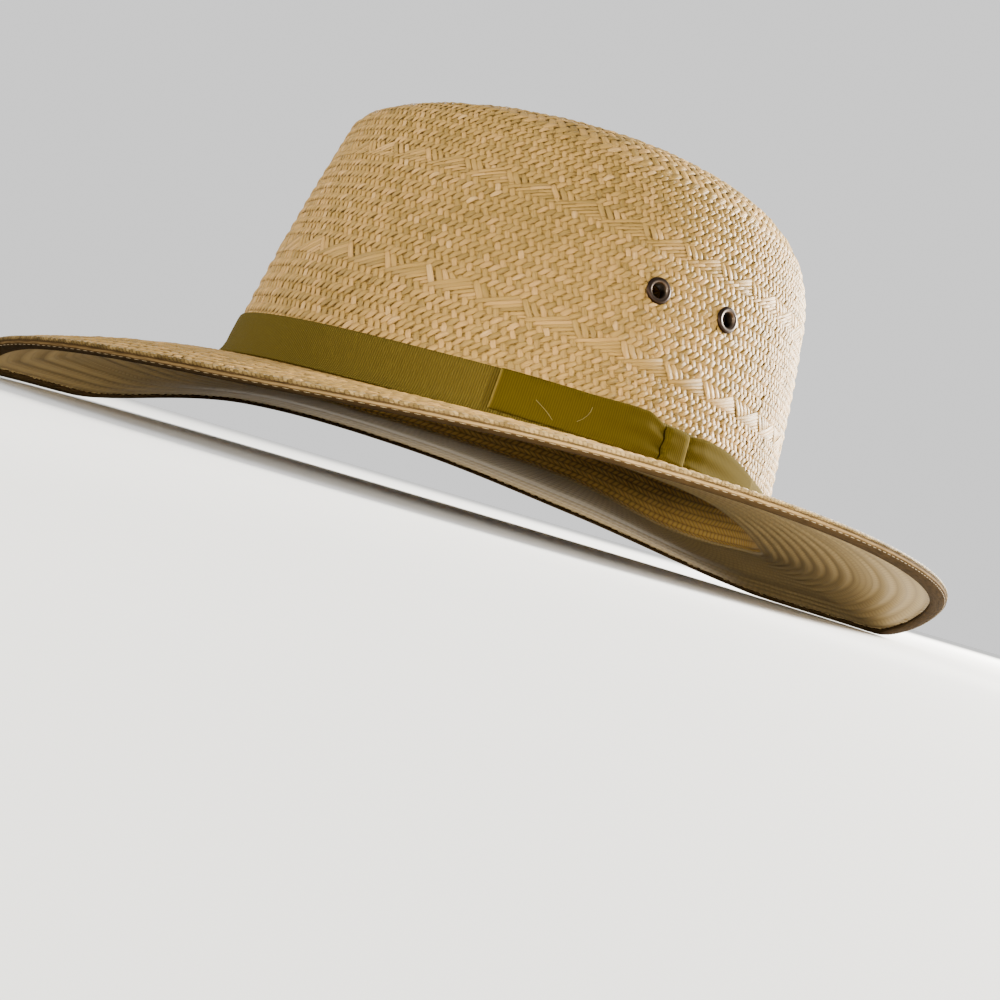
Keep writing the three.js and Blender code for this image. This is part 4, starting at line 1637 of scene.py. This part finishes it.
@dataclass
class Hem:
    """The folded-under layer along the rim, with its stitches."""

    hat: Hat
    straw: bpy.types.Material
    thread: bpy.types.Material
    rows: tuple[HemRow, ...] = (
        HemRow(6.2, -1.7, 0.3),
        HemRow(1.5, -1.6, 0.3),
        HemRow(0.9, -0.5, 0.1),
        HemRow(0.5, -0.5, 0.1),
        HemRow(0.35, -0.65, 0.7),
        HemRow(0.35, -0.8, 0.1),
        HemRow(0.15, -0.95, 0.8),
        HemRow(0.0, -1.15, 0.95),
        HemRow(-0.1, -1.4, 0.95),
        HemRow(0.1, -1.6, 0.6),
        HemRow(0.8, -2.0, 0.3),
        HemRow(2.5, -2.8, 0.22),
        HemRow(4.0, -3.15, 0.22),
        HemRow(5.8, -3.2, 0.22),
        HemRow(6.2, -2.85, 0.1),
    )
    columns: int = 720
    column_fibre: float = 2.1  # how far a column runs along the fibres
    arc_steps: int = 1440  # steps over which the length round the rim is measured
    stitch_pitch: float = 2.6
    stitch_inset: float = 0.6
    stitch_radius: float = 0.15
    stitch_sides: int = 6
    stitch_places: tuple[float, ...] = (-0.42, -0.3, 0.0, 0.3, 0.42)  # places along a stitch, in pitches
    stitch_sinks: tuple[float, ...] = (0.45, 0.05, 0.0, 0.05, 0.45)  # how far it sinks into the straw there
    under_stitch_lift: float = -1.8
    upper_stitch_lift: float = 0.3

    def build(self) -> None:
        """Builds the layer and its stitches."""
        form, columns = self.hat.form, self.columns
        turns = even_turns(columns)
        rings = [
            form.offset(turns, RIM_STATION - row.inset / form.brim_side, row.lift) for row in self.rows
        ]
        points = self.hat.place.world(np.stack(rings)).reshape(-1, 3)
        points[:, 2] = np.maximum(points[:, 2], FLOOR)
        faces = grid_faces(len(rings), columns, True, True)[:, ::-1]
        along = np.tile(np.arange(columns) * self.column_fibre, len(rings))
        across = np.repeat([row.inset + row.lift for row in self.rows], columns)
        uv = np.stack([along, across], axis=-1)
        # Painted shade: the hem is darker front and rear.
        tones = np.array([row.tone for row in self.rows])[:, None] * (1 - rim_painted_shade(turns))
        values = {"tone": tones.ravel()}
        hem = MeshData(points, faces, uv, values).piece("hem_layer", self.straw, "hem_straw")
        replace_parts(hem, "brim_hem")
        self.stitches("hem_stitches", self.under_stitch_lift, Side.UNDER)
        self.stitches("brim_stitches", self.upper_stitch_lift, Side.OUTER)

    def stitches(self, name: str, lift: float, side: Side) -> None:
        """Builds a row of stitches.

        Args:
            name: The piece's name.
            lift: Height of the thread's middle over the outer surface.
            side: The face that it lies on.
        """
        form, places = self.hat.form, np.array(self.stitch_places)
        fine = np.linspace(0, FULL_TURN, self.arc_steps + 1)
        station = RIM_STATION - self.stitch_inset / form.brim_side
        line = form.surface(fine, np.full_like(fine, station))
        arc = np.concatenate([[0], np.cumsum(np.linalg.norm(np.diff(line, axis=0), axis=-1))])
        count = int(arc[-1] / self.stitch_pitch)
        middles = (np.arange(count) + 0.5) * arc[-1] / count
        turns = np.interp(middles[:, None] + places * self.stitch_pitch, arc, fine)
        stations = np.full_like(turns, station)
        centre = form.offset(turns, stations, lift - side.value * np.array(self.stitch_sinks))
        angle = np.linspace(0, 2 * math.pi, self.stitch_sides, endpoint=False)
        ring = directions_round(form.rimward(turns, stations), form.normal(turns, stations), angle)
        points = self.hat.place.world(centre[:, :, None] + ring * self.stitch_radius).reshape(-1, 3)
        points[:, 2] = np.maximum(points[:, 2], FLOOR)
        starts = np.arange(count) * len(places) * self.stitch_sides
        faces = grid_faces(len(places), self.stitch_sides, False, True)[None] + starts[:, None, None]
        MeshData(points, faces.reshape(-1, 4)).piece(name, self.thread, "hem_straw")


@dataclass(frozen=True)
class Wave:
    """One of the slight waves of the ribbon band: its height, its count round the hat and its start."""

    height: float
    count: int
    start: float


@dataclass
class RibbonBand:
    """The grosgrain ribbon round the foot of the crown."""

    hat: Hat
    ribbon: bpy.types.Material
    foot: float = 1.1  # height of its lower edge above the brim's root
    height: float = 14.4
    inner_lift: float = 0.35
    outer_lift: float = 1.2
    columns: int = 1080
    shares: tuple[float, ...] = (0, 0.04, 0.12, 0.3, 0.5, 0.7, 0.88, 0.96, 1.0)  # rows up its height
    rolls: tuple[float, ...] = (0.35, 0.1, 0, 0, 0, 0, 0, 0.1, 0.35)  # how far each is rolled in
    waves: tuple[Wave, ...] = (Wave(0.1, 9, 1.0), Wave(0.07, 23, 0.0))

    def build(self) -> None:
        form, columns, shares = self.hat.form, self.columns, np.array(self.shares)
        turns = even_turns(columns)
        wave = sum(row.height * np.sin(np.radians(turns) * row.count + row.start) for row in self.waves)
        stations = [form.station_above(turns, self.foot + self.height * share) for share in shares]
        swells = [wave * (1 - abs(2 * share - 1)) for share in shares]
        rings = [
            form.offset(turns, station, self.outer_lift - roll + swell)
            for station, roll, swell in zip(stations, self.rolls, swells)
        ]
        rings += [form.offset(turns, station, self.inner_lift) for station in stations[::-1]]
        points = self.hat.place.world(np.stack(rings))
        faces = grid_faces(len(rings), columns, True, True)[:, ::-1]
        middle = points[len(shares) // 2]
        arc = np.linalg.norm(np.diff(middle, axis=0, append=middle[:1]), axis=-1).cumsum() / METRE
        across = np.concatenate([shares, shares[::-1]]) * self.height
        uv = np.stack([np.tile(arc, len(rings)), np.repeat(across, columns)], axis=-1)
        band = MeshData(points.reshape(-1, 3), faces, uv).piece("band_ribbon", self.ribbon, "ribbon")
        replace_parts(band, "ribbon_band")


@dataclass(frozen=True)
class BowRow:
    """One row of a bow piece: its turn, edges above the root, and how far it stands off."""

    turn: float
    top: float
    bottom: float
    lift: float


@dataclass(frozen=True)
class BowPiece:
    """A piece of the bow: its names, its rows, and how it is folded."""

    name: str
    node: str  # the CAD node that it stands for
    rows: tuple[BowRow, ...]
    thickness: float
    gathered: int  # which row lies at the keeper, 0 for the first or -1 for the last
    fold_reach: float  # degrees over which its folds die away from there


@dataclass(frozen=True)
class LooseThread:
    """A frayed thread that lies on the bow: its turns and its heights above the root."""

    turns: tuple[float, ...]
    rises: tuple[float, ...]


@dataclass
class Bow:
    """The flat bow: two ribbon loops and the keeper that gathers them."""

    hat: Hat
    ribbon: bpy.types.Material
    thread: bpy.types.Material
    left: BowPiece = BowPiece(
        "bow_wing_left",
        "bow_left_wing",
        (
            BowRow(76.2, 15.4, 2.2, 1.75),
            BowRow(84.0, 15.4, 1.6, 1.85),
            BowRow(92.0, 15.6, 1.4, 2.15),
            BowRow(99.0, 16.4, 1.4, 2.55),
            BowRow(103.0, 16.6, 1.8, 2.75),
            BowRow(106.65, 14.2, 2.6, 2.35),
        ),
        thickness=1.3,
        gathered=-1,
        fold_reach=8.0,
    )
    right: BowPiece = BowPiece(
        "bow_wing_right",
        "bow_right_wing",
        (
            BowRow(112.35, 14.2, 2.6, 2.35),
            BowRow(116.0, 15.4, 1.8, 2.75),
            BowRow(122.0, 15.6, 1.4, 2.35),
            BowRow(128.0, 15.2, 1.4, 1.95),
            BowRow(133.6, 14.4, 2.4, 1.75),
        ),
        thickness=1.3,
        gathered=0,
        fold_reach=7.0,
    )
    keeper: BowPiece = BowPiece(
        "bow_keeper",
        "bow_knot",
        (
            BowRow(106.8, 14.4, 2.2, 1.75),
            BowRow(109.5, 14.8, 1.8, 1.75),
            BowRow(112.2, 14.4, 2.2, 1.75),
        ),
        thickness=2.6,
        gathered=0,
        fold_reach=1.5,
    )
    threads: tuple[LooseThread, ...] = (
        LooseThread((83.2, 84.2, 85.3, 86.2, 86.8), (8.8, 7.8, 6.6, 5.2, 3.6)),
        LooseThread((92.5, 92.4, 92.1, 91.5, 90.7), (11.8, 10.4, 9.0, 7.6, 6.4)),
    )
    thread_lift: float = 3.75
    thread_radius: float = 0.1
    thread_sides: int = 6
    end_highlight: float = 0.28  # half the width of the painted highlight along a free end, in degrees
    fold_height: float = 0.45
    fold_count: float = 2.5  # folds across the ribbon
    fold_start: float = 0.1  # share of a fold at which its upper edge begins
    edge_rows: tuple[float, ...] = (0.0, 0.03, 0.08)  # shares of the width for the rows at an edge
    middle_start: float = 0.15  # share where the even rows between the edges begin
    middle_rows: int = 15
    columns_per_degree: int = 5
    least_columns: int = 24
    smoothings: int = 12  # how often the lines through the rows are smoothed
    edge_thickness: float = 0.45  # thickness at its long edges, over the full one
    edge_share: float = 0.1  # share of its width over which it thickens
    end_thickness: float = 0.7  # the same at its ends
    end_reach: float = 1.2  # degrees over which it thickens there
    fibre_width: float = 14.0  # the ribbon's width for its material
    least_flat: float = 10.0  # smallest flat size

    def build(self) -> None:
        """Builds the two loops and the keeper."""
        for piece in (self.left, self.right, self.keeper):
            self.strip(piece)
        self.loose_threads()

    def loose_threads(self) -> None:
        """Builds the frayed threads on the left loop."""
        form, place = self.hat.form, self.hat.place
        angle = np.linspace(0, 2 * math.pi, self.thread_sides, endpoint=False)
        parts = []
        for thread in self.threads:
            turns, rises = np.array(thread.turns), np.array(thread.rises)
            stations = form.station_above(turns, rises)
            centre = form.offset(turns, stations, self.thread_lift)
            normal = form.normal(turns, stations)
            side = unit(np.cross(normal, np.gradient(centre, axis=0)))
            ring = directions_round(side, normal, angle)
            points = place.world(centre[:, None] + ring * self.thread_radius).reshape(-1, 3)
            faces = grid_faces(len(turns), self.thread_sides, False, True)
            parts.append(MeshData(points, faces, np.zeros((len(points), 2))))
        MeshData.joined(parts).piece("bow_loose_threads", self.thread, "ribbon")

    def fold(self, piece: BowPiece, turn: np.ndarray, share: float) -> np.ndarray:
        """Height of the folds that the keeper gathers, at a share of the way across."""
        near = np.exp(-(np.abs(turn - piece.rows[piece.gathered].turn) / piece.fold_reach))
        return self.fold_height * near * math.cos(2 * math.pi * (share * self.fold_count + self.fold_start))

    def lines(self, piece: BowPiece, turn: np.ndarray) -> list[np.ndarray]:
        """Smooth lines through a piece's rows.

        Args:
            piece: The piece of the bow.
            turn: Turns in degrees, from its first row to its last.

        Returns:
            Its upper edge, its lower edge and how far it stands off.
        """
        turns = [row.turn for row in piece.rows]
        smooth = np.array([0.25, 0.5, 0.25])
        lines = []
        for key in ("top", "bottom", "lift"):
            line = np.interp(turn, turns, [getattr(row, key) for row in piece.rows])
            for _ in range(self.smoothings):
                line[1:-1] = np.convolve(line, smooth, "valid")
            lines.append(line)
        return lines

    def strip(self, piece: BowPiece) -> None:
        """Builds one closed piece of ribbon through its rows.

        Args:
            piece: The piece of the bow.
        """
        form, place, rows = self.hat.form, self.hat.place, piece.rows
        columns = max(self.least_columns, int((rows[-1].turn - rows[0].turn) * self.columns_per_degree))
        turn = np.linspace(rows[0].turn, rows[-1].turn, columns)
        top, bottom, lift = self.lines(piece, turn)
        near_edge = np.array(self.edge_rows)
        between = np.linspace(self.middle_start, 1 - self.middle_start, self.middle_rows)
        shares = np.concatenate([near_edge, between, 1 - near_edge[::-1]])
        in_edge = np.minimum(np.minimum(shares, 1 - shares) / self.edge_share, 1)
        in_end = np.minimum(np.minimum(turn - turn[0], turn[-1] - turn) / self.end_reach, 1)
        edges = self.edge_thickness + (1 - self.edge_thickness) * np.sqrt(in_edge)
        ends = self.end_thickness + (1 - self.end_thickness) * np.sqrt(in_end)
        stations = [form.station_above(turn, top + (bottom - top) * share) for share in shares]
        rings = [
            form.offset(turn, station, lift + piece.thickness * full * ends + self.fold(piece, turn, share))
            for station, share, full in zip(stations, shares, edges)
        ]
        rings += [form.offset(turn, station, lift) for station in stations[::-1]]
        points = place.world(np.stack(rings))
        count = len(rings)
        faces = [grid_faces(count, columns, True, False)]
        half = count // 2
        for column, flip in ((0, 1), (columns - 1, -1)):
            near = np.arange(half - 1)
            far = count - 1 - near
            caps = np.stack([near, near + 1, far - 1, far], axis=-1) * columns + column
            faces.append(caps[:, ::flip])
        middle = points[half // 2]
        arc = np.concatenate([[0], np.linalg.norm(np.diff(middle, axis=0), axis=-1).cumsum()]) / METRE
        across = np.concatenate([shares, shares[::-1]]) * self.fibre_width
        uv = np.stack([np.tile(arc, count), np.repeat(across, columns)], axis=-1)
        free_end = rows[-1 - piece.gathered].turn
        # A painted highlight along the free end.
        edge = np.exp(-(((turn - free_end) / self.end_highlight) ** 2))
        data = MeshData(points.reshape(-1, 3), np.concatenate(faces), uv, {"edge": np.tile(edge, count)})
        strip = data.piece(piece.name, self.ribbon, "ribbon")
        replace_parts(strip, piece.node)


@dataclass
class Eyelets:
    """Rolled brass vent eyelets."""

    hat: Hat
    brass: bpy.types.Material
    hole: float = 2.3  # radii
    barrel: float = 2.9
    flange: float = 4.2
    washer: float = 3.7
    rise: float = 1.0  # height of the roll outside
    seat: float = 0.3  # how far it stands off the straw
    inner_seat: float = 0.45
    washer_rise: float = 0.8
    washer_bevel: float = 0.3
    roll_steps: int = 9
    wear_power: int = 5  # how closely the wear keeps to the roll's inner rim
    sides: int = 48

    def build(self) -> None:
        """Builds one eyelet for each hole."""
        inside = -self.hat.form.crown_thick - self.inner_seat
        innermost = inside - self.washer_rise
        middle, half = (self.hole + self.flange) / 2, (self.flange - self.hole) / 2
        angle = np.linspace(0, math.pi, self.roll_steps)
        crest = middle + half * np.cos(angle), self.seat + self.rise * np.sin(angle)
        roll = zip(*crest, (angle / math.pi) ** self.wear_power)
        profile = [  # radius, height over the straw, and wear
            (self.barrel, inside, 0.0),
            (self.barrel, self.seat, 0.0),
            *roll,
            (self.hole, 0.0, 0.5),
            (self.hole, inside, 0.0),
            (self.hole + self.washer_bevel, innermost, 0.1),
            (self.washer - self.washer_bevel, innermost, 0.1),
            (self.washer, inside, 0.0),
        ]
        radius, height, wear = np.array(profile).T
        turn = np.linspace(0, 2 * math.pi, self.sides, endpoint=False)
        for spot, centre, axis in zip(self.hat.eyelets, self.hat.holes, self.hat.hole_axes):
            side = unit(np.cross(np.array([0, 0, 1.0]), axis))
            ring = directions_round(side, np.cross(axis, side), turn)
            points = centre + ring[None] * radius[:, None, None] + axis * height[:, None, None]
            faces = grid_faces(len(radius), self.sides, True, True)[:, ::-1]
            values = {"wear": np.repeat(wear, self.sides)}
            data = MeshData(points.reshape(-1, 3) * METRE, faces, None, values)
            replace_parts(data.piece(spot.node + "_rolled", self.brass, "eyelet_metal"), spot.node)


# ---- Camera, light and floor -------------------------------------------------------------------------


@dataclass(frozen=True)
class Lamp:
    """An area light: where it is and aims, in metres, its size, its power and its spread in degrees."""

    name: str
    place: tuple[float, float, float]
    aim: tuple[float, float, float]
    size: float
    power: float
    spread: float = 180.0


@dataclass
class Studio:
    """The camera, a pale floor and soft light."""

    place: Placement
    board: bpy.types.Material
    eye: tuple[float, float, float] = (417.344, -91.568, -21.707)  # millimetres, in the hat's frame
    right: tuple[float, float, float] = (0.22129038, 0.93504754, 0.27697774)
    up: tuple[float, float, float] = (-0.06042938, -0.27032564, 0.96087061)
    focal_share: float = 1.19087  # focal length over the picture's width
    sensor: float = 36.0
    clip_start: float = 0.01  # metres
    floor_size: float = 8.0  # metres
    sky: float = 1.1  # strength of the even light from all round
    lamp_colour: tuple[float, float, float] = (1.0, 0.96, 0.88)
    lamps: tuple[Lamp, ...] = (
        Lamp("key", (-0.15, 1.0, 0.4), (0.0, 0.0, 0.08), 0.3, 104.0),
        Lamp("front_fill", (0.35, -0.8, 0.05), (0.0, 0.0, 0.08), 0.2, 8.0),
        Lamp("low_fill", (0.7, 0.0, 0.03), (0.0, 0.0, 0.02), 0.06, 1.9),
        Lamp("front_brim_fill", (0.42, 0.3, 0.02), (0.0, -0.16, -0.03), 0.04, 0.16, 24.0),
        Lamp("rear_brim_fill", (0.5, -0.3, 0.012), (0.0, 0.14, 0.0), 0.03, 0.09, 24.0),
    )

    def camera(self) -> None:
        """Places the camera."""
        origin = self.place.world(np.zeros(3))
        eye = self.place.world(np.array(self.eye))
        right, up = (unit(self.place.world(np.array(axis)) - origin) for axis in (self.right, self.up))
        back = np.cross(right, up)
        data = bpy.data.cameras.new("camera")
        data.sensor_width = self.sensor
        data.lens = self.focal_share * self.sensor
        data.clip_start = self.clip_start
        camera = bpy.data.objects.new("camera", data)
        bpy.context.scene.collection.objects.link(camera)
        frame = np.eye(4)
        frame[:3] = np.stack([right, up, back, eye], axis=-1)
        camera.matrix_world = Matrix(frame)
        bpy.context.scene.camera = camera

    def light(self) -> None:
        """Places the lights."""
        world = bpy.data.worlds.new("studio")
        bpy.context.scene.world = world
        world.use_nodes = True
        background = world.node_tree.nodes["Background"]
        background.inputs["Color"].default_value = (1.0, 1.0, 1.0, 1.0)
        background.inputs["Strength"].default_value = self.sky
        for row in self.lamps:
            data = bpy.data.lights.new(row.name, "AREA")
            data.size = row.size
            data.energy = row.power
            data.spread = math.radians(row.spread)
            data.color = self.lamp_colour
            lamp = bpy.data.objects.new(row.name, data)
            lamp.location = row.place
            lamp.rotation_euler = (Vector(row.aim) - Vector(row.place)).to_track_quat("-Z", "Y").to_euler()
            bpy.context.scene.collection.objects.link(lamp)

    def floor(self) -> None:
        """Lays the floor."""
        mesh = bpy.data.meshes.new("floor")
        half = self.floor_size / 2
        corners = [(x * half, y * half, FLOOR) for x, y in ((-1, -1), (1, -1), (1, 1), (-1, 1))]
        mesh.from_pydata(corners, [], [(0, 1, 2, 3)])
        mesh.materials.append(self.board)
        floor = bpy.data.objects.new("floor", mesh)
        bpy.context.scene.collection.objects.link(floor)


def main() -> None:
    """Builds the hat's looks, piece by piece."""
    logging.basicConfig(level=logging.INFO, format="%(message)s")
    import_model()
    form = HatForm()
    place = Placement(form)
    studio = Studio(place, StudioBoard().material())
    studio.camera()
    studio.floor()
    studio.light()
    hat = Hat(form, place, StrawSurface(form, place), WeaveChart())
    straw, ground = PlaitedStraw().material(), StrawGround().material()
    thread, ribbon = StitchThread().material(), Grosgrain().material()
    Crown(hat, straw, ground).build()
    Brim(hat, straw, UNDER_STRAW.material(), UNDER_STRAND.material(), RIM_STRAND.material(), ground).build()
    Hem(hat, HEM_STRAW.material(), thread).build()
    RibbonBand(hat, ribbon).build()
    Bow(hat, PRESSED_RIBBON.material(), FRAYED_THREAD.material()).build()
    Eyelets(hat, AgedBrass().material()).build()


if __name__ == "__main__":
    main()
